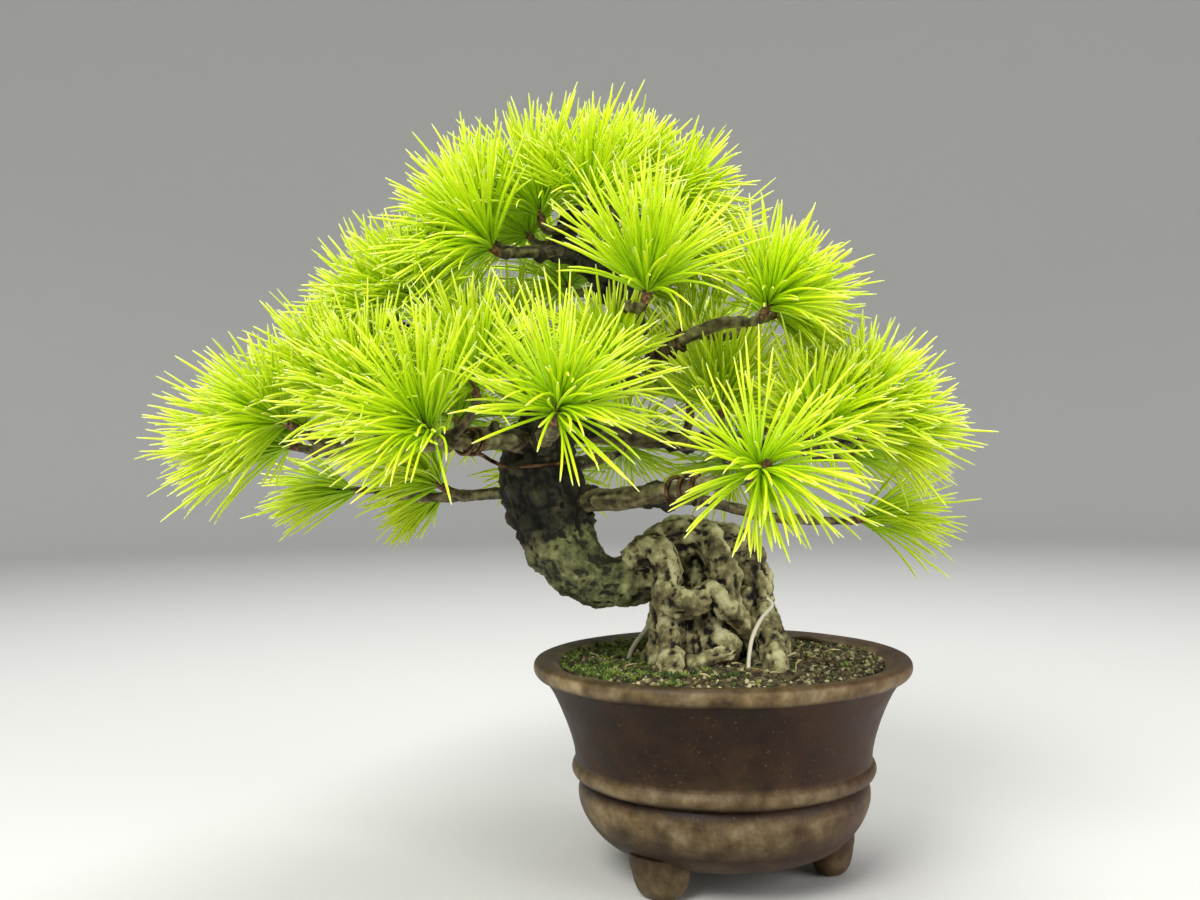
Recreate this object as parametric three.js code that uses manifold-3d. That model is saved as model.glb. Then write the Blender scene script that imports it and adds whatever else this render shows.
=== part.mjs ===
// Japanese white pine bonsai with exposed roots, in a round unglazed stoneware pot on three feet.
// Millimetres, +Z up, the viewer's side is -Y. All pieces are drawn round the pot's axis, and the
// whole tree is then moved so that the origin is the bottom centre of its box.

import * as THREE from 'three';
import { mergeVertices } from 'three/addons/utils/BufferGeometryUtils.js';
import Module from 'manifold-3d';

const wasm = await Module();
wasm.setup();

// Driving dimensions

const GAP = 0.35; // free space between pieces that touch
const POT_AXIS = [42.4, -1.2]; // where the pot's axis stands, from the middle of the whole box

const RIM_RADIUS = 55;
const RIM_HEIGHT = 62.3;
const POT_BASE_HEIGHT = 8;
const POT_FLOOR_HEIGHT = 13;
const POT_SEGMENTS = 28;
const DRAIN_RADIUS = 6;
const FOOT_RING_RADIUS = 31;
const FOOT_TURNS = [230, 350, 110]; // degrees round the pot, the first two stand in front
const FOOT_HEIGHT = 12;
const FOOT_SIDES = 10;

const MESH_SIZE = 24;
const MESH_THICKNESS = 1;
const MESH_HOLE = 3.4;
const MESH_PITCH = 5.4;
const MESH_HOLES_PER_SIDE = 3;

const SOIL_RADIUS = 47.2;
const SOIL_EDGE_HEIGHT = 60;
const SOIL_MOUND = 3.6;

const WIRE_RADIUS = 0.6;

const NEEDLE_RADIUS = 0.55;
const NEEDLE_RADII = [0.7, 0.5, 0.1]; // at the root, half way and at the tip, for clearances
const NEEDLE_CLEARANCE = 0.12;
const NEEDLE_STRAY = 0.16; // radians, of a needle that may stand square to its shoot
const REACH_SHARES = [0.9, 1.04]; // shortest and longest needle, of the spray's length
const BEND_AT = 0.56; // share of an arched needle's length
const DROOP = 0.2;
const DOWNWARD_SHORTER = 0.35; // the share by which a needle that points straight down is shorter
const NEEDLE_ATTEMPTS = 40;
const NEEDLES_PER_SPRAY = 22;
const LOWEST_NEEDLE = 5; // height on the bud
const ARCHED_FROM = 1.2; // radians off the shoot, from where needles arch down
const BUD_RADIUS = 2.3;
const BUD_HEIGHT = 5.5;
const TWIG_RADIUS = 1.2;
const LONG_TWIG = 17; // from this length a twig bends visibly
const DEFAULT_SPREAD = 60;
const SEED = 20260;

const CLAY = { color: 0x6b4a30, roughness: 0.5, metalness: 0 };
const NET = { color: 0x2b2b2b, roughness: 0.6, metalness: 0 };
const EARTH = { color: 0x5a5030, roughness: 0.95, metalness: 0 };
const BARK = { color: 0x8a7f5c, roughness: 0.9, metalness: 0 };
const WIRE = { color: 0x4a3020, roughness: 0.45, metalness: 0.8 };
const NEEDLE = { color: 0x9bd313, roughness: 0.5, metalness: 0 };

const tree = new THREE.Group();
tree.position.set(POT_AXIS[0], POT_AXIS[1], 0);

// Solids

function toSolid(geometry) {
  const bare = geometry.clone();
  bare.deleteAttribute('normal');
  bare.deleteAttribute('uv');
  const merged = mergeVertices(bare, 1e-4);
  const corners = merged.index.array;
  const kept = [];
  for (let i = 0; i < corners.length; i += 3) {
    const [a, b, c] = [corners[i], corners[i + 1], corners[i + 2]];
    if (a !== b && b !== c && c !== a) kept.push(a, b, c);
  }
  const vertProperties = new Float32Array(merged.attributes.position.array);
  return new wasm.Manifold(new wasm.Mesh({ numProp: 3, vertProperties, triVerts: new Uint32Array(kept) }));
}

function toGeometry(solid) {
  const { vertProperties, triVerts } = solid.getMesh();
  const geometry = new THREE.BufferGeometry();
  geometry.setAttribute('position', new THREE.BufferAttribute(vertProperties, 3));
  geometry.setIndex(new THREE.BufferAttribute(triVerts, 1));
  geometry.computeVertexNormals();
  return geometry;
}

function joined(geometries) {
  return geometries.map(toSolid).reduce((whole, solid) => whole.add(solid));
}

function addPiece(name, geometry, finish) {
  const mesh = new THREE.Mesh(geometry, new THREE.MeshStandardMaterial(finish));
  mesh.name = name;
  tree.add(mesh);
}

// A closed skin over rings of equal count, with a point or a flat fan on each end.
function loft(rings, startPoint, endPoint) {
  const sides = rings[0].length;
  const points = [...rings.flat(), startPoint, endPoint];
  const start = points.length - 2;
  const end = points.length - 1;
  const faces = [];
  for (let j = 0; j < sides; j += 1) {
    const k = (j + 1) % sides;
    for (let i = 0; i < rings.length - 1; i += 1) {
      const low = i * sides;
      const high = low + sides;
      faces.push(low + j, low + k, high + j, low + k, high + k, high + j);
    }
    const last = (rings.length - 1) * sides;
    faces.push(start, k, j, end, last + j, last + k);
  }
  const geometry = new THREE.BufferGeometry().setFromPoints(points);
  geometry.setIndex(faces);
  return geometry;
}

// A limb's course: points [x, y, z, radius] joined by a smooth curve.
class Course {
  constructor(points) {
    this.radii = points.map((point) => point[3]);
    const places = points.map(([x, y, z]) => new THREE.Vector3(x, y, z));
    this.curve = new THREE.CatmullRomCurve3(places, false, 'centripetal');
  }

  at(share) {
    const t = this.curve.getUtoTmapping(share);
    const place = t * (this.radii.length - 1);
    const low = Math.min(Math.floor(place), this.radii.length - 2);
    const radius = THREE.MathUtils.lerp(this.radii[low], this.radii[low + 1], place - low);
    return { point: this.curve.getPoint(t), radius };
  }
}

// Rings round a course. knobs swells and pinches the section, as old roots and bark do. extra makes
// it fatter, and from leaves out the rings before that one.
function limbGeometry(course, sides, steps, knobs = 0, extra = 0, from = 0) {
  const frames = course.curve.computeFrenetFrames(steps, false);
  const rings = [];
  for (let i = from; i <= steps; i += 1) {
    const { point, radius } = course.at(i / steps);
    const ring = [];
    for (let j = 0; j < sides; j += 1) {
      const angle = (2 * Math.PI * j) / sides;
      const swell = 1 + knobs * (Math.sin(2 * angle + 1.7 * i) + Math.sin(3 * angle - 2.3 * i)) / 2;
      const reach = radius * swell + extra;
      ring.push(point.clone()
        .addScaledVector(frames.normals[i], reach * Math.cos(angle))
        .addScaledVector(frames.binormals[i], reach * Math.sin(angle)));
    }
    rings.push(ring);
  }
  const ends = [course.at(from / steps), course.at(1)];
  const dome = 0.4;
  const first = ends[0].point.addScaledVector(frames.tangents[from], -dome * ends[0].radius - extra);
  const last = ends[1].point.addScaledVector(frames.tangents[steps], dome * ends[1].radius + extra);
  return loft(rings, first, last);
}

function seededDraw(seed) {
  let state = seed;
  return () => {
    state = (state + 0x6d2b79f5) | 0;
    let mixed = Math.imul(state ^ (state >>> 15), 1 | state);
    mixed = (mixed + Math.imul(mixed ^ (mixed >>> 7), 61 | mixed)) ^ mixed;
    return ((mixed ^ (mixed >>> 14)) >>> 0) / 4294967296;
  };
}

// Pot: one fired piece, turned outside and in, with a drain hole and three nub feet

function potOutline() {
  const bowl = new THREE.SplineCurve([
    new THREE.Vector2(28, POT_BASE_HEIGHT), new THREE.Vector2(32.8, 9.1),
    new THREE.Vector2(39.8, 15.5), new THREE.Vector2(42.6, 24), new THREE.Vector2(41.6, 27.4),
  ]).getPoints(4);
  const wall = new THREE.SplineCurve([
    new THREE.Vector2(43.3, 33.2), new THREE.Vector2(44.7, 40.3),
    new THREE.Vector2(48.3, 51), new THREE.Vector2(51.8, 57.6),
  ]).getPoints(3);
  const bead = [[43, 28.8], [44.1, 31]];
  const lip = [[54.4, 58.6], [RIM_RADIUS, 60.6], [53.4, RIM_HEIGHT], [48, RIM_HEIGHT]];
  const asPoints = (list) => list.map(([r, z]) => new THREE.Vector2(r, z));
  const outside = [...asPoints([[DRAIN_RADIUS, POT_BASE_HEIGHT]]), ...bowl, ...asPoints(bead), ...wall];
  const inside = innerOutline().reverse();
  return [...outside, ...asPoints(lip), ...inside, outside[0].clone()];
}

// The hollow's outline from the drain hole to the top of the soil, shared by pot and soil.
function innerOutline(clearance = 0) {
  const outline = [
    [DRAIN_RADIUS, POT_FLOOR_HEIGHT], [32, POT_FLOOR_HEIGHT], [37.8, 20], [39.8, 35],
    [42.8, 48], [SOIL_RADIUS, SOIL_EDGE_HEIGHT],
  ];
  return outline.map(([r, z], i) => (
    new THREE.Vector2(i < 1 ? r : r - clearance, i < 2 ? z + clearance : z + clearance / 2)));
}

function lathe(points, segments) {
  const geometry = new THREE.LatheGeometry(points, segments);
  geometry.rotateX(Math.PI / 2);
  return geometry;
}

function footGeometry(turn) {
  const profile = [[0, 0], [4.4, 0], [7.2, 2], [9, 6], [9.9, FOOT_HEIGHT], [0, FOOT_HEIGHT]];
  const foot = lathe(profile.map(([r, z]) => new THREE.Vector2(r, z)), FOOT_SIDES);
  foot.scale(0.72, 1, 1);
  foot.translate(FOOT_RING_RADIUS, 0, 0);
  foot.rotateZ(THREE.MathUtils.degToRad(turn));
  return foot;
}

// Drainage net over the hole

function netGeometry() {
  const sheet = toSolid(new THREE.BoxGeometry(MESH_SIZE, MESH_SIZE, MESH_THICKNESS));
  const middle = (MESH_HOLES_PER_SIDE - 1) / 2;
  let net = sheet;
  for (let row = 0; row < MESH_HOLES_PER_SIDE; row += 1) {
    for (let column = 0; column < MESH_HOLES_PER_SIDE; column += 1) {
      const hole = new THREE.BoxGeometry(MESH_HOLE, MESH_HOLE, 3 * MESH_THICKNESS);
      hole.translate((column - middle) * MESH_PITCH, (row - middle) * MESH_PITCH, 0);
      net = net.subtract(toSolid(hole));
    }
  }
  const geometry = toGeometry(net);
  geometry.translate(0, 0, POT_FLOOR_HEIGHT + GAP + MESH_THICKNESS / 2);
  return geometry;
}

// Soil: fills the pot to a low mound, over the net

function soilGeometry() {
  const netTop = POT_FLOOR_HEIGHT + MESH_THICKNESS + 2 * GAP;
  const recess = MESH_SIZE * Math.SQRT1_2 + GAP;
  const floor = [new THREE.Vector2(0, netTop), new THREE.Vector2(recess, netTop)];
  floor.push(new THREE.Vector2(recess, POT_FLOOR_HEIGHT + GAP));
  const side = innerOutline(GAP).slice(1);
  const top = [38, 26, 14, 0].map((r) => new THREE.Vector2(r, SOIL_EDGE_HEIGHT));
  const soil = lathe([...floor, ...side, ...top], POT_SEGMENTS);
  const place = soil.attributes.position;
  for (let i = 0; i < place.count; i += 1) {
    const x = place.getX(i);
    const y = place.getY(i);
    const r = Math.hypot(x, y);
    const onTop = place.getZ(i) > SOIL_EDGE_HEIGHT - GAP / 4 && r < SOIL_RADIUS - 1;
    const mound = SOIL_MOUND * (1 - (r / SOIL_RADIUS) ** 2);
    const lumps = 0.7 * Math.sin(x / 5 + 1) * Math.cos(y / 6) * Math.min(1, r / 12);
    if (onTop) place.setZ(i, SOIL_EDGE_HEIGHT + mound + lumps);
  }
  return soil;
}

// Tree: exposed roots, burl, trunk, branches. Each limb is a list of [x, y, z, radius]

const TRUNK = new Course([
  [-14, -1, 88, 6.5], [-25, -2, 85.5, 6.6], [-31.8, -3, 84.8, 7.2], [-38.2, -4, 86.2, 7.9],
  [-43.4, -4, 91.3, 9.2], [-47.5, -2, 97.7, 10.4], [-50, 0, 105.9, 11.4], [-52, 0, 113.3, 11.7],
  [-52.8, 0, 120.2, 10.8], [-51.5, 2, 127.5, 8.6], [-46.6, 8, 136, 6.4], [-37.5, 12, 144, 5.6],
  [-29.6, 12, 154, 5], [-25.5, 10, 164, 4.6], [-29.3, 10, 174, 4], [-38.3, 8, 182, 3.5],
  [-44.5, 8, 188, 2.9], [-41, 9, 194, 2.4], [-32, 10, 198.5, 1.9],
]);

const ROOTS = {
  burl: new Course([
    [-6, 2, 92, 4.2], [-7, 1, 86, 5.8], [-6, -1, 77, 9.4], [-4, -3, 68, 11.6],
    [-3, -2, 60, 11], [-3, -2, 50, 8]]),
  leftArch: new Course([
    [-25, -3, 87, 4], [-22, -6, 93, 4.8], [-18, -9, 93.2, 4.5], [-16.5, -11.5, 88.5, 3.9],
    [-16.6, -14, 83, 3.7], [-12.7, -16, 79.8, 3.6], [-7.2, -17.3, 80.4, 3.4], [-3.5, -14, 80.5, 3],
  ]),
  frontRun: new Course([
    [-6, -15, 81.8, 2.4], [-3, -17, 81.6, 2.8], [0, -16.5, 78.8, 2.7], [6, -13, 72.5, 2.5],
    [10, -9.5, 65, 2.5], [11.5, -8.5, 56, 2.2],
  ]),
  topArch: new Course([
    [-20, -1, 90, 5], [-15.5, -2, 96.2, 5.2], [-10, -2, 97.6, 4.7], [-5, -4, 96.6, 4.4],
    [-1.6, -8, 93.2, 4], [0.4, -9.5, 87, 3.6], [0.9, -9.5, 81.6, 3.5], [-1, -8, 75, 4],
  ]),
  rightArch: new Course([
    [-12, 4, 94, 4.4], [-4, 6, 96.4, 4.6], [4.5, 6.5, 95.6, 4.6], [10, 6.5, 89.6, 4.1],
    [12.2, 5.5, 82.4, 3.6], [12.8, 4, 76.3, 3.7], [14.8, 0.5, 67.8, 4.1], [16.2, -3.5, 59, 4.7],
    [16.5, -4, 50, 4],
  ]),
  leftPost: new Course([
    [-14, -3, 84, 4.6], [-16, -2.5, 78.7, 4.2], [-16.8, -4.5, 68, 3.8], [-19.5, -7, 59, 3.8],
    [-21, -8, 51, 3],
  ]),
  backLeft: new Course([[-13, 5, 91, 4.5], [-12, 10, 84, 4.2], [-11, 12.5, 74, 4],
    [-12, 15, 63, 4], [-14, 17, 52, 3.2]]),
  backRight: new Course([[0, 8, 93, 4], [5, 11, 84, 3.7], [4.5, 12.5, 73, 3.7],
    [6, 15.5, 62, 3.7], [8, 18, 52, 3]]),
  innerRight: new Course([[11, 5, 80, 2.8], [5.5, 2, 76, 3.2], [-1, 0, 73, 4]]),
  paleStray: new Course([
    [13, -10.2, 78.2, 0.9], [10.2, -12.3, 75, 0.95], [7.2, -14.6, 70, 1],
    [5.6, -16.3, 62, 1.05], [5.2, -16.5, 58, 1.1], [4, -14, 54, 1.2], [0, -8, 52, 1.4],
  ]),
  leftStray: new Course([[-17, -1, 76.5, 1.3], [-22.3, -2.5, 70, 1.1], [-26.2, -4, 65, 1],
    [-28.5, -5, 58, 0.9]]),
};

const BRANCHES = {
  firstLeft: new Course([
    [-52, 0, 121, 5], [-57, -6.5, 125.8, 3.5], [-62, -12.5, 126.8, 2.9], [-68.2, -20, 126, 2.6],
    [-77.8, -29, 126.2, 2.4], [-90, -29, 125.3, 2.1], [-104, -24, 123.8, 1.9], [-115.5, -18, 124, 1.7],
  ]),
  knotStub: new Course([[-65.3, -16.5, 126, 1.8], [-64.6, -17, 129, 1.8], [-64.2, -17.2, 131.8, 1.3]]),
  lowLeft: new Course([
    [-50, 2, 110.5, 3.4], [-57, 6.5, 111, 2.4], [-64, 10, 110.9, 1.9], [-85, 18, 109.8, 1.7],
    [-98, 24, 110.4, 1.4], [-106, 27, 111.6, 1.3],
  ]),
  backLeft: new Course([[-51, 5, 125, 3.4], [-60, 18, 128, 2.4], [-74, 32, 130, 2], [-90, 42, 129, 1.6]]),
  middleLeft: new Course([
    [-44, 9, 139, 3.4], [-54, 9, 147.5, 2.5], [-66, 5, 153.5, 2.2], [-77, -2, 157.5, 1.8],
    [-86, -7, 160, 1.5],
  ]),
  upperLeft: new Course([[-40, 8, 183, 2.5], [-50, 2, 183, 2], [-57, -5, 181.5, 1.8], [-61, -12, 180, 1.5]]),
  upperFront: new Course([[-27, 10, 161, 3], [-29, -4, 164, 2.2], [-27, -19, 163.4, 1.9],
    [-24, -33, 161, 1.7]]),
  upperRight: new Course([
    [-36, 12, 145, 3.4], [-29.8, 8, 145.2, 2.5], [-22.5, 0, 147.9, 2.1], [-15.4, -8, 151.5, 1.9],
    [-8.6, -14, 155.6, 1.8], [-0.4, -18, 158.3, 1.8], [7, -21, 158.6, 1.5],
  ]),
  front: new Course([[-52, -1, 123, 5], [-50.5, -14, 127, 2.7], [-48, -29, 128, 2.1],
    [-46.5, -42, 127.6, 1.7]]),
  lowRight: new Course([
    [-48, -1, 110, 5], [-41, -4, 108.8, 3.5], [-35, -8, 108.9, 3.2], [-26, -13, 109.4, 3.1],
    [-20.7, -16, 110.3, 3], [-10.2, -26, 112.6, 2.2], [-3, -33, 113.8, 1.8], [2, -41, 114.5, 1.6],
  ]),
  lowRightFork: new Course([
    [-22, -15, 110, 2.5], [-14, -12, 109.4, 2.1], [-6, -9, 108.4, 1.8], [12.2, -2, 103.6, 1.6],
    [30, 6, 101.2, 1.3], [36, 8, 100.8, 1.3],
  ]),
  middleRight: new Course([
    [-49, 4, 131, 3.8], [-34, 12, 128.5, 2.8], [-14, 14, 126, 2.4], [8, 10, 124.5, 2.1],
    [24, 2, 123.6, 1.8], [35, -6, 124, 1.6],
  ]),
  backRight: new Course([[-14, 14, 126, 2.3], [0, 24, 126, 1.9], [13, 33, 126.5, 1.7]]),
  backUpper: new Course([[-36, 13, 146, 3], [-22, 24, 150, 2.3], [-11, 34, 154, 1.8]]),
  backLow: new Course([[-50, 5, 117, 3.4], [-44, 22, 119, 2.4], [-35, 38, 121, 1.9], [-31, 46, 122, 1.7]]),
  backHigh: new Course([[-28, 10, 171, 2.5], [-34, 23, 174, 1.9], [-40, 34, 175, 1.6]]),
  highRight: new Course([[-26, 10, 166, 2.5], [-19, 15, 173, 1.9], [-13, 20, 179, 1.6]]),
};

const LIMB_SIDES = 5;
const LIMB_STEP = 18; // length of branch between two rings
const WIRED = ['firstLeft', 'lowRight', 'upperRight'];
const WIRED_STEP = 7; // closer rings under a wire, which follows the branch's smooth course
const ROOT_SIDES = 6;
const ROOT_STEP = 8;
const ROOT_KNOBS = 0.1;
const TRUNK_SIDES = 9;
const TRUNK_STEPS = 20;

function stepsFor(course, spacing) {
  return Math.max(2, Math.round(course.curve.getLength() / spacing));
}

// Sprays: each one ends a twig that grows from a limb, at a share of the limb's length. base is where
// the shoot begins, lean the way it points, length its reach and spread the angle in degrees between
// the shoot and its lowest needles.

function spray(name, limb, at, base, lean, length, spread = DEFAULT_SPREAD) {
  return { name, limb, at, base, lean, length, spread };
}

const SPRAYS = [
  spray('left_tip', 'firstLeft', 0.99, [-121, -15, 125.5], [-1, -0.1, 0.17], 37, 27),
  spray('left_upper_front', 'firstLeft', 0.93, [-119, -27, 131], [-0.88, -0.3, 0.42], 28),
  spray('left_crest', 'firstLeft', 0.83, [-107, -21, 139], [-0.35, -0.25, 0.87], 28),
  spray('left_behind', 'firstLeft', 0.88, [-120, -3, 131], [-0.9, 0.2, 0.4], 28),
  spray('left_shelf', 'middleLeft', 0.99, [-91, -10, 160], [-0.88, -0.2, 0.42], 31),
  spray('left_shelf_top', 'middleLeft', 0.86, [-84, -14, 165], [-0.45, -0.3, 0.84], 28),
  spray('left_shelf_front', 'firstLeft', 0.68, [-94, -34, 134], [-0.4, -0.45, 0.8], 30),
  spray('front_left_low', 'firstLeft', 0.49, [-77, -46, 127], [-0.55, -0.5, 0.6], 35, 64),
  spray('front_left_high', 'firstLeft', 0.5, [-68, -32, 139], [-0.15, -0.35, 0.92], 31),
  spray('front_middle', 'front', 0.98, [-46, -50, 131], [0.28, -0.46, 0.83], 34, 82),
  spray('front_star', 'lowRight', 0.99, [4, -52, 116], [0.3, -0.87, 0.34], 33, 90),
  spray('front_upper', 'upperFront', 0.98, [-22, -40, 163], [0.1, -0.25, 0.95], 35),
  spray('front_inner', 'upperRight', 0.3, [-30, -16, 144], [-0.25, -0.6, 0.7], 28),
  spray('right_upper_front', 'upperRight', 0.97, [11, -27, 160], [0.35, -0.3, 0.85], 28, 66),
  spray('right_upper_side', 'upperRight', 0.9, [15, -11, 161], [0.9, -0.15, 0.28], 25),
  spray('right_upper_back', 'upperRight', 0.72, [15, 8, 164], [0.6, 0.4, 0.7], 25),
  spray('right_shelf_top', 'middleRight', 0.94, [38, -12, 131], [0.5, -0.2, 0.83], 28),
  spray('right_tip', 'middleRight', 0.99, [41, -10, 125.5], [1, -0.05, 0.14], 29, 44),
  spray('right_shelf_front', 'middleRight', 0.8, [24, -20, 126], [0.35, -0.65, 0.65], 30),
  spray('right_inner', 'middleRight', 0.62, [1, -2, 133], [0.1, -0.3, 0.94], 32),
  spray('right_inner_back', 'middleRight', 0.45, [-6, 24, 137], [0, 0.2, 0.97], 34),
  spray('right_shelf_back', 'middleRight', 0.78, [34, 20, 137], [0.4, 0.3, 0.85], 29),
  spray('right_low_tip', 'lowRightFork', 0.99, [42, 8, 101], [1, 0, 0.16], 30, 30),
  spray('right_back_side', 'middleRight', 0.85, [42, 16, 121], [0.8, 0.5, 0.3], 28, 50),
  spray('low_left_tip', 'lowLeft', 0.99, [-111, 28, 112], [-0.98, 0.1, 0.04], 31, 22),
  spray('low_left_under', 'lowLeft', 0.62, [-85, 33, 110], [-0.8, 0.35, -0.3], 26, 28),
  spray('low_left_side', 'lowLeft', 0.45, [-82, 6, 113], [-0.7, -0.35, 0.45], 27, 48),
  spray('top_left', 'upperLeft', 0.98, [-63, -20, 179.5], [-0.8, -0.3, 0.52], 33),
  spray('top_left_crest', 'upperLeft', 0.72, [-67, -9, 187], [-0.4, -0.1, 0.91], 29),
  spray('top_middle', 'trunk', 0.93, [-51, 0, 192], [-0.12, -0.12, 0.98], 33),
  spray('top_front', 'trunk', 0.96, [-37, -6, 193], [0.15, -0.45, 0.86], 32),
  spray('top_crest', 'trunk', 0.99, [-24, 9, 201], [0.12, -0.05, 0.99], 27),
  spray('top_right', 'trunk', 0.98, [-14, 7, 196], [0.8, -0.1, 0.55], 26),
  spray('top_back', 'trunk', 0.97, [-34, 22, 200], [-0.1, 0.55, 0.82], 29),
  spray('top_back_left', 'trunk', 0.9, [-55, 18, 190], [-0.5, 0.45, 0.72], 29),
  spray('top_back_right', 'highRight', 0.98, [-8, 25, 184], [0.5, 0.55, 0.62], 31),
  spray('back_crest', 'backHigh', 0.98, [-44, 41, 178], [-0.2, 0.75, 0.6], 34),
  spray('back_crest_right', 'backHigh', 0.7, [-24, 38, 177], [0.3, 0.75, 0.55], 33),
  spray('back_left_shelf', 'middleLeft', 0.6, [-78, 20, 165], [-0.6, 0.45, 0.65], 34),
  spray('back_left_middle', 'middleLeft', 0.4, [-64, 34, 156], [-0.25, 0.75, 0.6], 33),
  spray('left_shelf_back', 'firstLeft', 0.78, [-105, 8, 139], [-0.55, 0.35, 0.75], 33),
  spray('back_left_tip', 'backLeft', 0.99, [-97, 44, 131], [-0.7, 0.5, 0.5], 33),
  spray('back_left', 'backLeft', 0.85, [-83, 51, 134], [-0.15, 0.8, 0.55], 33),
  spray('back_left_inner', 'backLeft', 0.5, [-58, 47, 134], [0.1, 0.8, 0.6], 33),
  spray('back_low', 'backLow', 0.98, [-27, 52, 124], [0.2, 0.9, 0.35], 34),
  spray('back_low_left', 'backLow', 0.7, [-48, 48, 117], [-0.35, 0.9, 0.05], 31),
  spray('back_middle', 'backUpper', 0.98, [-4, 42, 157], [0.25, 0.75, 0.62], 34),
  spray('back_right', 'backRight', 0.99, [19, 40, 129], [0.45, 0.75, 0.45], 33),
  spray('back_right_low', 'backRight', 0.7, [8, 44, 119], [0.2, 0.95, 0.05], 31),
];

const limbs = { trunk: TRUNK, ...BRANCHES };

function vector([x, y, z]) {
  return new THREE.Vector3(x, y, z);
}

// The twig leaves its limb and turns into the shoot's own direction.
function twigCourse({ limb, at, base, lean: way }) {
  const parent = limbs[limb].at(at);
  const lean = vector(way).normalize();
  const end = vector(base).addScaledVector(lean, -GAP);
  const bend = end.clone().addScaledVector(lean, -0.45 * parent.point.distanceTo(end));
  const curve = new THREE.QuadraticBezierCurve3(parent.point, bend, end);
  const startRadius = Math.min(parent.radius * 0.8, TWIG_RADIUS + 0.4);
  const course = new Course([[0, 0, 0, startRadius], [0, 0, 1, TWIG_RADIUS]]);
  course.curve = curve;
  return course;
}

function flatEndedTwig(course) {
  const steps = course.curve.getLength() > LONG_TWIG ? 2 : 1;
  const sides = 4;
  const frames = course.curve.computeFrenetFrames(steps, false);
  const rings = [];
  for (let i = 0; i <= steps; i += 1) {
    const { point, radius } = course.at(i / steps);
    rings.push(Array.from({ length: sides }, (unused, j) => {
      const angle = (2 * Math.PI * j) / sides;
      return point.clone()
        .addScaledVector(frames.normals[i], radius * Math.cos(angle))
        .addScaledVector(frames.binormals[i], radius * Math.sin(angle));
    }));
  }
  return loft(rings, course.at(0).point, course.at(1).point);
}

const twigs = SPRAYS.map(twigCourse);

const rootGeometries = Object.values(ROOTS).map((course) => (
  limbGeometry(course, ROOT_SIDES, stepsFor(course, ROOT_STEP), ROOT_KNOBS)));
const branchGeometries = Object.entries(BRANCHES).map(([name, course]) => (
  limbGeometry(course, LIMB_SIDES, stepsFor(course, WIRED.includes(name) ? WIRED_STEP : LIMB_STEP))));
const wood = joined([
  limbGeometry(TRUNK, TRUNK_SIDES, TRUNK_STEPS, 0.05),
  ...rootGeometries, ...branchGeometries, ...twigs.map(flatEndedTwig),
]);

// Each root stands in a plain hole of its own shape in the soil.
function rootHoleGeometry(course) {
  const steps = stepsFor(course, ROOT_STEP);
  const heights = Array.from({ length: steps + 1 }, (unused, i) => course.at(i / steps).point.z);
  const from = Math.max(0, heights.findIndex((height) => height < SOIL_EDGE_HEIGHT + 2 * SOIL_MOUND) - 1);
  return limbGeometry(course, ROOT_SIDES, steps, ROOT_KNOBS, GAP, from);
}

const rootHoles = joined(Object.values(ROOTS)
  .filter((course) => course.at(1).point.z < SOIL_EDGE_HEIGHT)
  .map(rootHoleGeometry));

// Training wires: each winds round its limb, just clear of the bark, starting on the underside

function woundRound(course, from, to, turns) {
  const perTurn = 8;
  const count = Math.round(turns * perTurn);
  const points = [];
  for (let i = 0; i <= count; i += 1) {
    const share = THREE.MathUtils.lerp(from, to, i / count);
    const { point, radius } = course.at(share);
    const along = course.curve.getTangentAt(share);
    const side = along.clone().cross(new THREE.Vector3(0, 0, 1)).normalize();
    const down = along.clone().cross(side).normalize();
    const angle = (2 * Math.PI * i) / perTurn;
    const reach = radius + WIRE_RADIUS + GAP;
    points.push(point
      .addScaledVector(down, reach * Math.cos(angle))
      .addScaledVector(side, reach * Math.sin(angle)));
  }
  return points;
}

// The first left branch's wire starts with a cut end in front of the trunk and crosses to the branch.
function acrossTrunk() {
  const middle = vector([-52.7, 0, 120]);
  const reach = 11.6 + WIRE_RADIUS + GAP;
  const [firstTurn, lastTurn, turnStep] = [-40, -130, -18]; // degrees round the trunk
  const points = [];
  for (let turn = firstTurn; turn >= lastTurn; turn += turnStep) {
    const outward = new THREE.Vector3(reach, 0, (turn - firstTurn) / 60);
    const turned = outward.applyAxisAngle(new THREE.Vector3(0, 0, 1), THREE.MathUtils.degToRad(turn));
    points.push(middle.clone().add(turned));
  }
  const belowBranch = vector([-65.5, -13.5, 120.6]);
  return [...points, belowBranch];
}

function wireGeometry(points) {
  const path = new THREE.CatmullRomCurve3(points, false, 'centripetal');
  const section = new THREE.Shape();
  const sides = 5;
  for (let j = 0; j < sides; j += 1) {
    const angle = (2 * Math.PI * j) / sides;
    const [x, y] = [WIRE_RADIUS * Math.cos(angle), WIRE_RADIUS * Math.sin(angle)];
    if (j === 0) section.moveTo(x, y);
    else section.lineTo(x, y);
  }
  return new THREE.ExtrudeGeometry(section, { steps: points.length - 1, extrudePath: path,
    bevelEnabled: false });
}

const WIRES = {
  wire_first_left: [...acrossTrunk(), ...woundRound(BRANCHES.firstLeft, 0.335, 0.43, 2.5)],
  wire_low_right: woundRound(BRANCHES.lowRight, 0.6, 0.76, 2.5),
  wire_upper_right: woundRound(BRANCHES.upperRight, 0.42, 0.66, 3.5),
};

// Needles: three-sided, drawn by rule out of the bud at the end of each shoot, and turned until they
// clear the other pieces

const obstacles = [];

function addObstacle(points, radii, owner) {
  for (let i = 0; i < points.length - 1; i += 1) {
    obstacles.push({ a: points[i], b: points[i + 1], radius: Math.max(radii[i], radii[i + 1]), owner });
  }
}

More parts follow.
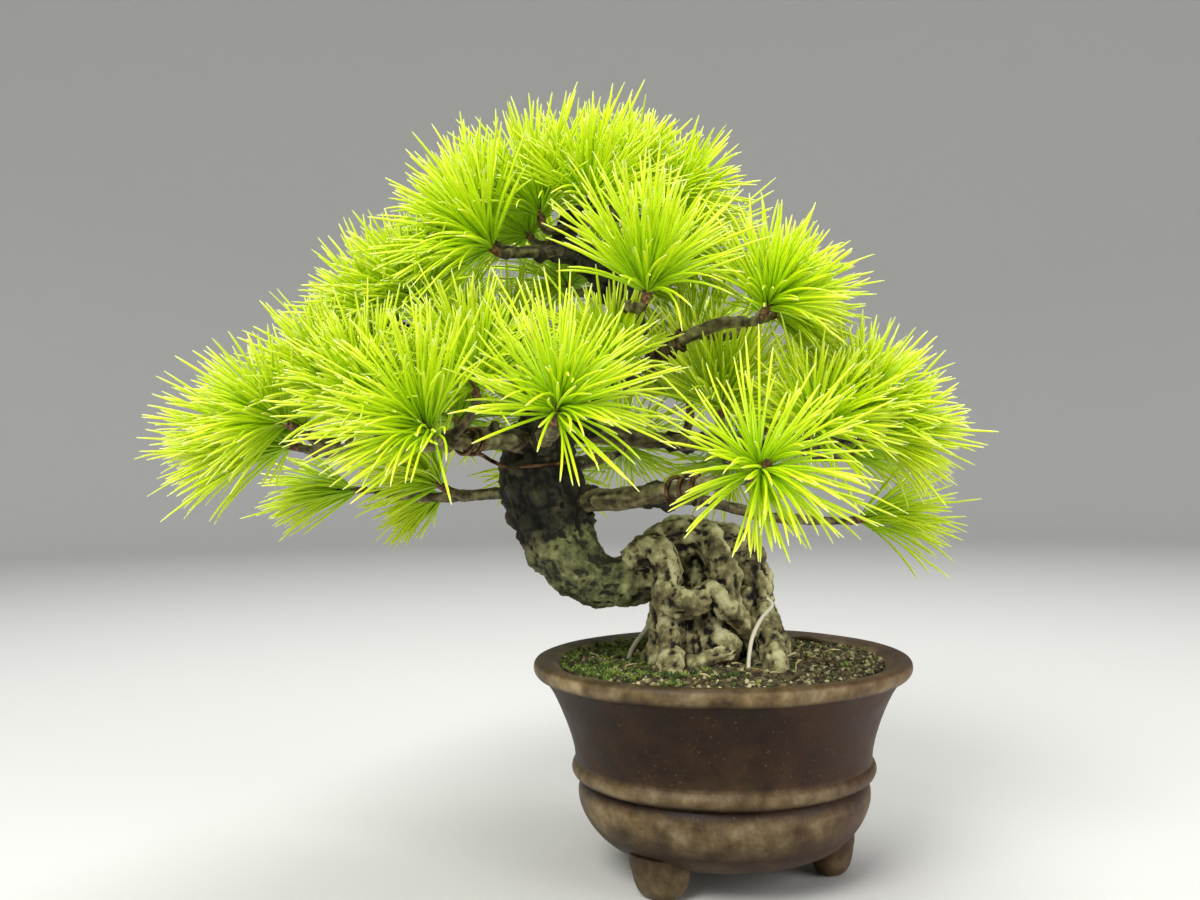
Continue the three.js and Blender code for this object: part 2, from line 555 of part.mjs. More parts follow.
function addCourseObstacle(course, pieces, owner, swell = 1) {
  const spots = Array.from({ length: pieces + 1 }, (unused, i) => course.at(i / pieces));
  addObstacle(spots.map((spot) => spot.point), spots.map((spot) => spot.radius * swell), owner);
}

function segmentDistance(a, b, c, d) {
  const u = b.clone().sub(a);
  const v = d.clone().sub(c);
  const w = a.clone().sub(c);
  const [uu, uv, vv, uw, vw] = [u.dot(u), u.dot(v), v.dot(v), u.dot(w), v.dot(w)];
  const spread = uu * vv - uv * uv;
  let s = spread > 1e-9 ? THREE.MathUtils.clamp((uv * vw - vv * uw) / spread, 0, 1) : 0;
  let t = (uv * s + vw) / vv;
  if (t < 0 || t > 1) {
    t = THREE.MathUtils.clamp(t, 0, 1);
    s = THREE.MathUtils.clamp((uv * t - uw) / uu, 0, 1);
  }
  return w.addScaledVector(u, s).addScaledVector(v, -t).length();
}

function isClear(points, radii, owner) {
  for (let i = 0; i < points.length - 1; i += 1) {
    const radius = Math.max(radii[i], radii[i + 1]);
    for (const other of obstacles) {
      if (other.owner === owner) continue;
      const needed = radius + other.radius + NEEDLE_CLEARANCE;
      if (segmentDistance(points[i], points[i + 1], other.a, other.b) < needed) return false;
    }
  }
  return true;
}

// The bud is a ball of small triangles drawn out below into a stalk. Each needle grows out of one
// whole triangle, so a spray is one skin.
const BALL = mergeVertices(
  new THREE.IcosahedronGeometry(1, 1).deleteAttribute('normal').deleteAttribute('uv'), 1e-4);
const BALL_POINTS = Array.from({ length: BALL.attributes.position.count }, (unused, i) => (
  new THREE.Vector3().fromBufferAttribute(BALL.attributes.position, i)));
const BALL_FACES = Array.from({ length: BALL.index.count / 3 }, (unused, i) => (
  Array.from(BALL.index.array.slice(3 * i, 3 * i + 3))));
const STALK_FROM = -0.4; // share of the ball's radius below its middle where the stalk begins

function budPoint(unit) {
  const drawn = Math.max(0, (STALK_FROM - unit.z) / (1 + STALK_FROM));
  const height = BUD_HEIGHT + BUD_RADIUS * Math.max(unit.z, STALK_FROM);
  return new THREE.Vector3(unit.x * BUD_RADIUS, unit.y * BUD_RADIUS, height * (1 - drawn) ** 1.5);
}

function shootFrame(ownSpray, turn) {
  const lean = vector(ownSpray.lean).normalize();
  const across = new THREE.Vector3(0, 0, 1).cross(lean);
  if (across.length() < 0.2) across.set(1, 0, 0).cross(lean);
  across.normalize();
  const third = lean.clone().cross(across);
  const frame = new THREE.Matrix4().makeBasis(across, third, lean);
  frame.multiply(new THREE.Matrix4().makeRotationZ(turn));
  return frame.setPosition(vector(ownSpray.base));
}

// One needle's course from the middle of its triangle. The lowest needles arch down at their ends.
function needleCourse(ownSpray, middle, frame, draw) {
  const outward = Math.atan2(Math.hypot(middle.x, middle.y), middle.z - BUD_HEIGHT);
  const spread = THREE.MathUtils.degToRad(ownSpray.spread);
  const narrowing = spread / (Math.PI / 2);
  const slant = outward * narrowing + (draw() - 0.5) * NEEDLE_STRAY * narrowing;
  const turn = Math.atan2(middle.y, middle.x) + ((draw() - 0.5) * NEEDLE_STRAY) / Math.max(0.4,
    Math.sin(outward));
  const direction = new THREE.Vector3(
    Math.sin(slant) * Math.cos(turn), Math.sin(slant) * Math.sin(turn), Math.cos(slant));
  direction.transformDirection(frame);
  const root = middle.clone().applyMatrix4(frame);
  const shorter = 1 - DOWNWARD_SHORTER * Math.max(0, -direction.z);
  const fullLength = ownSpray.length * THREE.MathUtils.lerp(...REACH_SHARES, draw()) - middle.z * 0.8;
  const length = fullLength * shorter;
  if (outward < ARCHED_FROM) return [root, root.clone().addScaledVector(direction, length)];
  const bend = root.clone().addScaledVector(direction, length * BEND_AT);
  const onward = direction.clone();
  onward.z -= DROOP;
  return [root, bend, bend.clone().addScaledVector(onward.normalize(), length * (1 - BEND_AT))];
}

function sprayGeometry(ownSpray, index) {
  const draw = seededDraw(SEED + index);
  const frame = shootFrame(ownSpray, 2 * Math.PI * draw());
  const local = BALL_POINTS.map(budPoint);
  const points = local.map((point) => point.clone().applyMatrix4(frame));
  const faces = [];
  const order = BALL_FACES.map((face) => ({ face, rank: draw() })).sort((a, b) => a.rank - b.rank);
  let grown = 0;
  for (const { face } of order) {
    const middle = face.reduce((sum, i) => sum.add(local[i]), new THREE.Vector3()).divideScalar(3);
    const course = middle.z > LOWEST_NEEDLE && grown < NEEDLES_PER_SPRAY
      ? clearCourse(ownSpray, middle, frame, draw) : null;
    if (course) growNeedle(points, faces, face, course);
    else faces.push(...face);
    if (course) grown += 1;
  }
  const geometry = new THREE.BufferGeometry().setFromPoints(points);
  geometry.setIndex(faces);
  geometry.computeVertexNormals();
  return geometry;
}

function clearCourse(ownSpray, middle, frame, draw) {
  for (let attempt = 0; attempt < NEEDLE_ATTEMPTS; attempt += 1) {
    const course = needleCourse(ownSpray, middle, frame, draw);
    const radii = NEEDLE_RADII.slice(-course.length);
    if (isClear(course, radii, ownSpray.name)) {
      addObstacle(course, radii, ownSpray.name);
      return course;
    }
  }
  return null;
}

// Replaces one triangle of the bud by a needle that stands on its three corners.
function growNeedle(points, faces, face, course) {
  let ring = face;
  if (course.length > 2) {
    const [root, bend, tip] = course;
    const along = tip.clone().sub(root).normalize();
    ring = face.map((corner) => {
      const offset = points[corner].clone().sub(root);
      offset.addScaledVector(along, -offset.dot(along)).setLength(NEEDLE_RADIUS);
      return points.push(bend.clone().add(offset)) - 1;
    });
    for (let j = 0; j < 3; j += 1) {
      const k = (j + 1) % 3;
      faces.push(face[j], face[k], ring[j], face[k], ring[k], ring[j]);
    }
  }
  const end = points.push(course.at(-1)) - 1;
  for (let j = 0; j < 3; j += 1) faces.push(ring[j], ring[(j + 1) % 3], end);
}

Object.values(ROOTS).forEach((course) => addCourseObstacle(course, 8, 'wood', 1.1));
addCourseObstacle(TRUNK, 30, 'wood', 1.05);
Object.values(BRANCHES).forEach((course) => addCourseObstacle(course, 10, 'wood'));
Object.entries(WIRES).forEach(([name, points]) => addObstacle(points, points.map(() => WIRE_RADIUS), name));
twigs.forEach((course, i) => addCourseObstacle(course, 4, `twig_${i}`));
SPRAYS.forEach(({ name, base, lean }) => {
  const top = vector(base).addScaledVector(vector(lean).normalize(), BUD_HEIGHT);
  addObstacle([vector(base), top], [BUD_RADIUS, BUD_RADIUS], name);
});

// Assembly

const potSolid = joined([lathe(potOutline(), POT_SEGMENTS), ...FOOT_TURNS.map(footGeometry)]);
addPiece('pot', toGeometry(potSolid), CLAY);
addPiece('drainage_net', netGeometry(), NET);
addPiece('soil', toGeometry(toSolid(soilGeometry()).subtract(rootHoles)), EARTH);
addPiece('tree_wood', toGeometry(wood), BARK);
Object.entries(WIRES).forEach(([name, points]) => addPiece(name, wireGeometry(points), WIRE));
SPRAYS.forEach((ownSpray, i) => addPiece(`spray_${ownSpray.name}`, sprayGeometry(ownSpray, i), NEEDLE));

export default tree;
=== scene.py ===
"""Japanese white pine bonsai with exposed roots, in a round unglazed stoneware pot.

Sizes are in millimetres from the pot's axis, +X to the viewer's right, +Y away from the viewer and
+Z up. They are turned to metres in the shared frame when a mesh is made.
"""

import math

import bpy
from mathutils import Matrix, Vector


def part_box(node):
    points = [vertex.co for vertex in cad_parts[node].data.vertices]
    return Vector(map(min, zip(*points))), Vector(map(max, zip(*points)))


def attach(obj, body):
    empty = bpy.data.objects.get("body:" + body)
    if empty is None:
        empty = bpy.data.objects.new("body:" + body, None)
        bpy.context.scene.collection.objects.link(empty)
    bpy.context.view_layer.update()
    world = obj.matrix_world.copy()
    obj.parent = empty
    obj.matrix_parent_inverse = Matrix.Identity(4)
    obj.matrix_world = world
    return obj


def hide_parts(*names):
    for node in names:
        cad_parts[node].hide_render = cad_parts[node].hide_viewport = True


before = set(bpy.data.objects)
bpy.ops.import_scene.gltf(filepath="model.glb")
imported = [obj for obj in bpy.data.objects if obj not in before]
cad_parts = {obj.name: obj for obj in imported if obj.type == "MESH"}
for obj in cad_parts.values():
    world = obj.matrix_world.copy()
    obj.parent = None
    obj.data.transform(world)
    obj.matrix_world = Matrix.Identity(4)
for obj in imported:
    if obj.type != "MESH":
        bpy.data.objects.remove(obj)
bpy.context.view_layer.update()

MM = 0.001
pot_low, pot_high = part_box("pot")
POT_AXIS = Vector(((pot_low.x + pot_high.x) / 2, (pot_low.y + pot_high.y) / 2, 0))


def to_frame(point):
    """A point in millimetres from the pot's axis, as metres in the shared frame."""
    return Vector(point) * MM + POT_AXIS


# Camera: close in front of the pot, level with the lower branches

FOCAL_SHARE = 1180 / 1200  # focal length as a share of the image's width
LOOK_UP = math.radians(0.68)
ROLL = math.radians(-0.9)
CAMERA_PLACE = (-34.7, -350, 119.3)
camera_data = bpy.data.cameras.new("camera")
camera_data.lens = camera_data.sensor_width * FOCAL_SHARE
camera = bpy.data.objects.new("camera", camera_data)
camera.rotation_euler = (Matrix.Rotation(math.pi / 2 + LOOK_UP, 4, "X")
                         @ Matrix.Rotation(ROLL, 4, "Z")).to_euler()
camera.location = to_frame(CAMERA_PLACE)
bpy.context.collection.objects.link(camera)
bpy.context.scene.camera = camera


# Helpers for nodes, meshes and materials

def linear(code):
    """An sRGB hex colour such as '#9BD313' as linear RGBA."""
    shares = [int(code[i:i + 2], 16) / 255 for i in (1, 3, 5)]
    return [c / 12.92 if c <= 0.04045 else ((c + 0.055) / 1.055) ** 2.4 for c in shares] + [1]


def add(tree, kind, links=None, stops=(), **settings):
    """Adds a node with its settings, sets or links its inputs, and returns its first live output."""
    node = tree.nodes.new(kind)
    for name, value in settings.items():
        setattr(node, name, value)
    for key, value in (links or {}).items():
        socket = node.inputs[key]
        if isinstance(value, bpy.types.NodeSocket):
            tree.links.new(value, socket)
        else:
            socket.default_value = value
    for i, (place, code) in enumerate(stops):
        ramp = node.color_ramp.elements
        stop = ramp[i] if i < 2 else ramp.new(place)
        stop.position = place
        stop.color = linear(code)
    return next((output for output in node.outputs if output.enabled), node)


SOCKETS = {float: "NodeSocketFloat", int: "NodeSocketInt", tuple: "NodeSocketVector",
           bpy.types.Material: "NodeSocketMaterial", bpy.types.Object: "NodeSocketObject"}


def new_tree(name, **inputs):
    """A Geometry Nodes tree with named inputs, each given its kind. Returns it and their sockets."""
    tree = bpy.data.node_groups.new(name, "GeometryNodeTree")
    tree.interface.new_socket("Geometry", in_out="OUTPUT", socket_type="NodeSocketGeometry")
    tree.interface.new_socket("Geometry", in_out="INPUT", socket_type="NodeSocketGeometry")
    for label, kind in inputs.items():
        tree.interface.new_socket(label, in_out="INPUT", socket_type=SOCKETS[kind])
    entry = tree.nodes.new("NodeGroupInput")
    return tree, {output.name: output for output in entry.outputs if output.name}


def end_tree(tree, geometry, *looks):
    """Ends a tree: instances made real, then each (material, selection) in looks put on."""
    result = add(tree, "GeometryNodeRealizeInstances", {0: geometry})
    for material, selection in looks:
        links = {"Geometry": result, "Material": material}
        if selection is not None:
            links["Selection"] = selection
        result = add(tree, "GeometryNodeSetMaterial", links)
    add(tree, "NodeGroupOutput", {0: result})


def settled(thing):
    """Turns what an object's modifiers make into its plain mesh."""
    graph = bpy.context.evaluated_depsgraph_get()
    mesh = bpy.data.meshes.new_from_object(
        thing.evaluated_get(graph), preserve_all_data_layers=True, depsgraph=graph)
    mesh.name = thing.name
    thing.modifiers.clear()
    thing.data = mesh
    return thing


def new_object(name, mesh=None):
    thing = bpy.data.objects.new(name, mesh or bpy.data.meshes.new(name))
    bpy.context.collection.objects.link(thing)
    return thing


def put_tree(thing, tree, **values):
    """Puts a tree on an object, its inputs set by their identifiers."""
    modifier = thing.modifiers.new(tree.name, "NODES")
    modifier.node_group = tree
    for item in tree.interface.items_tree:
        if item.in_out == "INPUT" and item.name in values:
            modifier[item.identifier] = values[item.name]


def grown(name, tree, mesh=None, **values):
    """Runs a tree on a mesh, or on nothing, and returns the result as a plain mesh object."""
    thing = new_object(name, mesh)
    put_tree(thing, tree, **values)
    return settled(thing)


def maths(tree, operation, *values, **settings):
    return add(tree, "ShaderNodeMath", dict(enumerate(values)), operation=operation, **settings)


def vectors(tree, operation, *values, **named):
    links = {**dict(enumerate(values)), **named}
    return add(tree, "ShaderNodeVectorMath", links, operation=operation)


def remap(tree, value, low, high, to_low=0.0, to_high=1.0, **settings):
    """Takes low to high onto to_low to to_high, and holds what lies past them."""
    return add(tree, "ShaderNodeMapRange",
               {"Value": value, 1: low, 2: high, 3: to_low, 4: to_high}, **settings)


def noise(tree, place, size, detail, **inputs):
    """Noise with patches about size across, in millimetres."""
    return add(tree, "ShaderNodeTexNoise",
               {"Vector": place, "Scale": 1 / (size * MM), "Detail": detail, **inputs})


def ramp(tree, value, *stops):
    """A colour ramp; its first two stops are its ends."""
    return add(tree, "ShaderNodeValToRGB", {0: value}, stops=stops)


def blend(tree, share, first, second):
    """From the first colour to the second as the share goes from 0 to 1."""
    return add(tree, "ShaderNodeMix", {0: share, 6: first, 7: second}, data_type="RGBA")


def stored(tree, geometry, name, value, kind="FLOAT", **settings):
    """The geometry with a value stored on it under a name."""
    return add(tree, "GeometryNodeStoreNamedAttribute",
               {"Geometry": geometry, "Name": name, "Value": value}, data_type=kind, **settings)


def read(tree, name, kind="FLOAT"):
    return add(tree, "GeometryNodeInputNamedAttribute", {"Name": name}, data_type=kind)


def object_place(tree):
    return add(tree, "ShaderNodeTexCoord").node.outputs["Object"]


def carried(tree, name):
    """A named attribute, as a number for a finish."""
    return add(tree, "ShaderNodeAttribute", attribute_name=name).node.outputs["Fac"]


def bump(tree, shader, height, strength, distance):
    """Shades a finish as if uneven; distance is in millimetres."""
    links = {"Height": height, "Strength": strength, "Distance": distance * MM}
    tree.links.new(add(tree, "ShaderNodeBump", links), shader.inputs["Normal"])


def new_material(name, roughness, metallic=0.0):
    material = bpy.data.materials.new(name)
    material.use_nodes = True
    shader = material.node_tree.nodes["Principled BSDF"]
    shader.inputs["Roughness"].default_value = roughness
    shader.inputs["Metallic"].default_value = metallic
    return material, material.node_tree, shader


def finish_piece(thing, slot, *nodes):
    """The piece moves with the whole object and stands for CAD nodes, which are hidden. Its slot is
    not used.
    """
    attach(thing, "root")
    if nodes:
        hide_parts(*nodes)


# Limbs: points [x, y, z, radius] joined by a smooth curve

class Course:
    """A limb's middle line, measured along its length."""

    STEPS = 24  # parts between two given points
    TINY = 1e-9  # lengths that differ by less count as the same
    AIM = 0.005  # share of the length, before and after a spot, that gives its direction

    def __init__(self, points, smooth=True):
        self.spots = self.smoothed(points) if smooth else points
        self.lengths = [0.0]
        for a, b in zip(self.spots, self.spots[1:]):
            self.lengths.append(self.lengths[-1] + (b.xyz - a.xyz).length)

    def smoothed(self, points):
        """Points along the smooth curve that joins the given ones."""
        spots = [Vector(point) for point in points]
        spots = [2 * spots[0] - spots[1], *spots, 2 * spots[-1] - spots[-2]]
        made = []
        for i in range(1, len(spots) - 2):
            around = spots[i - 1:i + 3]
            gaps = [math.sqrt((b.xyz - a.xyz).length) for a, b in zip(around, around[1:])]
            made += [self.between(around, gaps, j / self.STEPS) for j in range(self.STEPS)]
        return [*made, spots[-2]]

    @staticmethod
    def between(around, gaps, share):
        """A point of the smooth curve between the middle two of four points."""
        a, b, c, d = (spot.xyz for spot in around)
        leave = gaps[1] * ((b - a) / gaps[0] - (c - a) / (gaps[0] + gaps[1]) + (c - b) / gaps[1])
        arrive = gaps[1] * ((c - b) / gaps[1] - (d - b) / (gaps[1] + gaps[2]) + (d - c) / gaps[2])
        square = 3 * (c - b) - 2 * leave - arrive
        cube = 2 * (b - c) + leave + arrive
        place = b + share * (leave + share * (square + share * cube))
        return Vector((*place, around[1].w + share * (around[2].w - around[1].w)))

    def at(self, share):
        """The point and radius at a share of the length, as one vector of four."""
        wanted = min(max(share, 0), 1) * self.lengths[-1]
        i = next(i for i, length in enumerate(self.lengths[1:]) if length >= wanted - self.TINY)
        span = self.lengths[i + 1] - self.lengths[i]
        return self.spots[i].lerp(self.spots[i + 1], (wanted - self.lengths[i]) / span)

    def direction(self, share):
        return (self.at(share + self.AIM).xyz - self.at(share - self.AIM).xyz).normalized()

    def walk(self, spacing, start=0.0, end=1.0):
        count = max(2, round(self.lengths[-1] * (end - start) / spacing))
        return [self.at(start + (end - start) * i / count) for i in range(count + 1)]


TRUNK = Course([
    [-14, -1, 88, 6.5], [-25, -2, 85.5, 6.6], [-31.8, -3, 84.8, 7.2], [-38.2, -4, 86.2, 7.9],
    [-43.4, -4, 91.3, 9.2], [-47.5, -2, 97.7, 10.4], [-50, 0, 105.9, 11.4], [-52, 0, 113.3, 11.7],
    [-52.8, 0, 120.2, 10.8], [-51.5, 2, 127.5, 8.6], [-46.6, 8, 136, 6.4], [-37.5, 12, 144, 5.6],
    [-29.6, 12, 154, 5], [-25.5, 10, 164, 4.6], [-29.3, 10, 174, 4], [-38.3, 8, 182, 3.5],
    [-44.5, 8, 188, 2.9], [-41, 9, 194, 2.4], [-32, 10, 198.5, 1.9],
])

ROOTS = [Course(points) for points in (
    # burl
    [[-6, 2, 92, 4.2], [-7, 1, 86, 5.8], [-6, -1, 77, 9.4], [-4, -3, 68, 11.6], [-3, -2, 60, 11],
     [-3, -2, 50, 8]],
    # left arch, which comes over the front and down to the burl
    [[-25, -3, 87, 4], [-22, -6, 93, 4.8], [-18, -9, 93.2, 4.5], [-16.5, -11.5, 88.5, 3.9],
     [-16.6, -14, 83, 3.7], [-12.7, -16, 79.8, 3.6], [-7.2, -17.3, 80.4, 3.4], [-3.5, -14, 80.5, 3]],
    # front run, down to the right
    [[-6, -15, 81.8, 2.4], [-3, -17, 81.6, 2.8], [0, -16.5, 78.8, 2.7], [6, -13, 72.5, 2.5],
     [10, -9.5, 65, 2.5], [11.5, -8.5, 56, 2.2]],
    # top arch
    [[-20, -1, 90, 5], [-15.5, -2, 96.2, 5.2], [-10, -2, 97.6, 4.7], [-5, -4, 96.6, 4.4],
     [-1.6, -8, 93.2, 4], [0.4, -9.5, 87, 3.6], [0.9, -9.5, 81.6, 3.5], [-1, -8, 75, 4]],
    # right arch and post
    [[-12, 4, 94, 4.4], [-4, 6, 96.4, 4.6], [4.5, 6.5, 95.6, 4.6], [10, 6.5, 89.6, 4.1],
     [12.2, 5.5, 82.4, 3.6], [12.8, 4, 76.3, 3.7], [14.8, 0.5, 67.8, 4.1], [16.2, -3.5, 59, 4.7],
     [16.5, -4, 50, 4]],
    # left post
    [[-14, -3, 84, 4.6], [-16, -2.5, 78.7, 4.2], [-16.8, -4.5, 68, 3.8], [-19.5, -7, 59, 3.8],
     [-21, -8, 51, 3]],
    # back posts
    [[-13, 5, 91, 4.5], [-12, 10, 84, 4.2], [-11, 12.5, 74, 4], [-12, 15, 63, 4], [-14, 17, 52, 3.2]],
    [[0, 8, 93, 4], [5, 11, 84, 3.7], [4.5, 12.5, 73, 3.7], [6, 15.5, 62, 3.7], [8, 18, 52, 3]],
    # inner run
    [[11, 5, 80, 2.8], [5.5, 2, 76, 3.2], [-1, 0, 73, 4]],
    # feet that spread forward into the soil
    [[-13, -8, 76, 3.2], [-15, -13, 70, 3.1], [-15.6, -19, 65, 2.8], [-16.4, -25, 61, 2.6],
     [-17, -28, 55, 2.4]],
    [[13, 2, 76, 3], [13, -7, 71, 3.1], [12.8, -16, 66.5, 3], [12.9, -23, 62.5, 2.9],
     [13.2, -27, 56, 2.6]],
    [[-3, -13, 69, 2.6], [2, -17, 66, 2.2], [-5, -17.5, 63.6, 2.3], [-10, -15, 61, 2.4]],
)]

STRAYS = [Course(points) for points in (
    # pale thin root with a hooked end, right of the burl
    [[12, -14, 80.5, 0.4], [13.6, -14.5, 78.8, 0.45], [10.2, -16, 75, 0.5], [7.2, -18.6, 70, 0.55],
     [5.6, -22.3, 64, 0.55], [5.2, -24.5, 58, 0.55]],
    # thin root left of the posts
    [[-17, -1, 76.5, 0.9], [-22.3, -2.5, 70, 0.75], [-26.2, -4, 65, 0.7], [-28.5, -5, 58, 0.65]],
)]

BRANCHES = {name: Course(points) for name, points in {
    "firstLeft": [[-52, 0, 121, 5], [-57, -6.5, 125.8, 3.5], [-62, -12.5, 126.8, 2.9],
                  [-68.2, -20, 126, 2.6], [-77.8, -29, 126.2, 2.4], [-90, -29, 125.3, 2.1],
                  [-104, -24, 123.8, 1.9], [-115.5, -18, 124, 1.7]],
    "knotStub": [[-65.3, -16.5, 126, 1.8], [-64.6, -17, 129, 1.8], [-64.2, -17.2, 131.8, 1.3]],
    "lowLeft": [[-50, 2, 110.5, 3.4], [-57, 6.5, 111, 2.4], [-64, 10, 110.9, 1.9],
                [-85, 18, 109.8, 1.7], [-98, 24, 110.4, 1.4], [-106, 27, 111.6, 1.3]],
    "backLeft": [[-51, 5, 125, 3.4], [-60, 18, 128, 2.4], [-74, 32, 130, 2], [-90, 42, 129, 1.6]],
    "middleLeft": [[-44, 9, 139, 3.4], [-54, 9, 147.5, 2.5], [-66, 5, 153.5, 2.2],
                   [-77, -2, 157.5, 1.8], [-86, -7, 160, 1.5]],
    "upperLeft": [[-40, 8, 183, 2.5], [-50, 2, 183, 2], [-57, -5, 181.5, 1.8], [-61, -12, 180, 1.5]],
    "upperFront": [[-27, 10, 161, 3], [-29, -4, 164, 2.2], [-27, -19, 163.4, 1.9],
                   [-24, -33, 161, 1.7]],
    "upperRight": [[-36, 12, 145, 3.4], [-29.8, 8, 145.2, 2.5], [-22.5, 0, 147.9, 2.1],
                   [-15.4, -8, 151.5, 1.9], [-8.6, -14, 155.6, 1.8], [-0.4, -18, 158.3, 1.8],
                   [7, -21, 158.6, 1.5]],
    "front": [[-52, -1, 123, 5], [-50.5, -14, 127, 2.7], [-48, -29, 128, 2.1],
              [-46.5, -42, 127.6, 1.7]],
    "lowRight": [[-48, -1, 110, 5], [-41, -4, 108.8, 3.5], [-35, -8, 108.9, 3.2],
                 [-26, -13, 109.4, 3.1], [-20.7, -16, 110.3, 3], [-10.2, -26, 112.6, 2.2],
                 [-3, -33, 113.8, 1.8], [2, -41, 114.5, 1.6]],
    "lowRightFork": [[-22, -15, 110, 2.5], [-14, -12, 109.4, 2.1], [-6, -9, 108.4, 1.8],
                     [12.2, -2, 103.6, 1.6], [30, 6, 101.2, 1.3], [36, 8, 100.8, 1.3]],
    "middleRight": [[-49, 4, 131, 3.8], [-34, 12, 128.5, 2.8], [-14, 14, 126, 2.4],
                    [8, 10, 124.5, 2.1], [24, 2, 123.6, 1.8], [35, -6, 124, 1.6]],
    "backRight": [[-14, 14, 126, 2.3], [0, 24, 126, 1.9], [13, 33, 126.5, 1.7]],
    "backUpper": [[-36, 13, 146, 3], [-22, 24, 150, 2.3], [-11, 34, 154, 1.8]],
    "backLow": [[-50, 5, 117, 3.4], [-44, 22, 119, 2.4], [-35, 38, 121, 1.9], [-31, 46, 122, 1.7]],
    "backHigh": [[-28, 10, 171, 2.5], [-34, 23, 174, 1.9], [-40, 34, 175, 1.6]],
    "highRight": [[-26, 10, 166, 2.5], [-19, 15, 173, 1.9], [-13, 20, 179, 1.6]],
}.items()}
LIMBS = {"trunk": TRUNK, **BRANCHES}

# Sprays: the limb each one's twig grows from, at a share of the limb's length, where its shoot
# begins, the way it points, its reach and the angle in degrees of its lowest needles to the shoot

DEFAULT_SPREAD = 60
BUNDLES = 38  # of five needles, on most sprays


def spray(name, limb, at, base, lean, reach, spread=DEFAULT_SPREAD, bundles=BUNDLES):
    return {"name": name, "limb": limb, "at": at, "base": Vector(base), "reach": reach,
            "lean": Vector(lean).normalized(), "spread": math.radians(spread), "bundles": bundles}


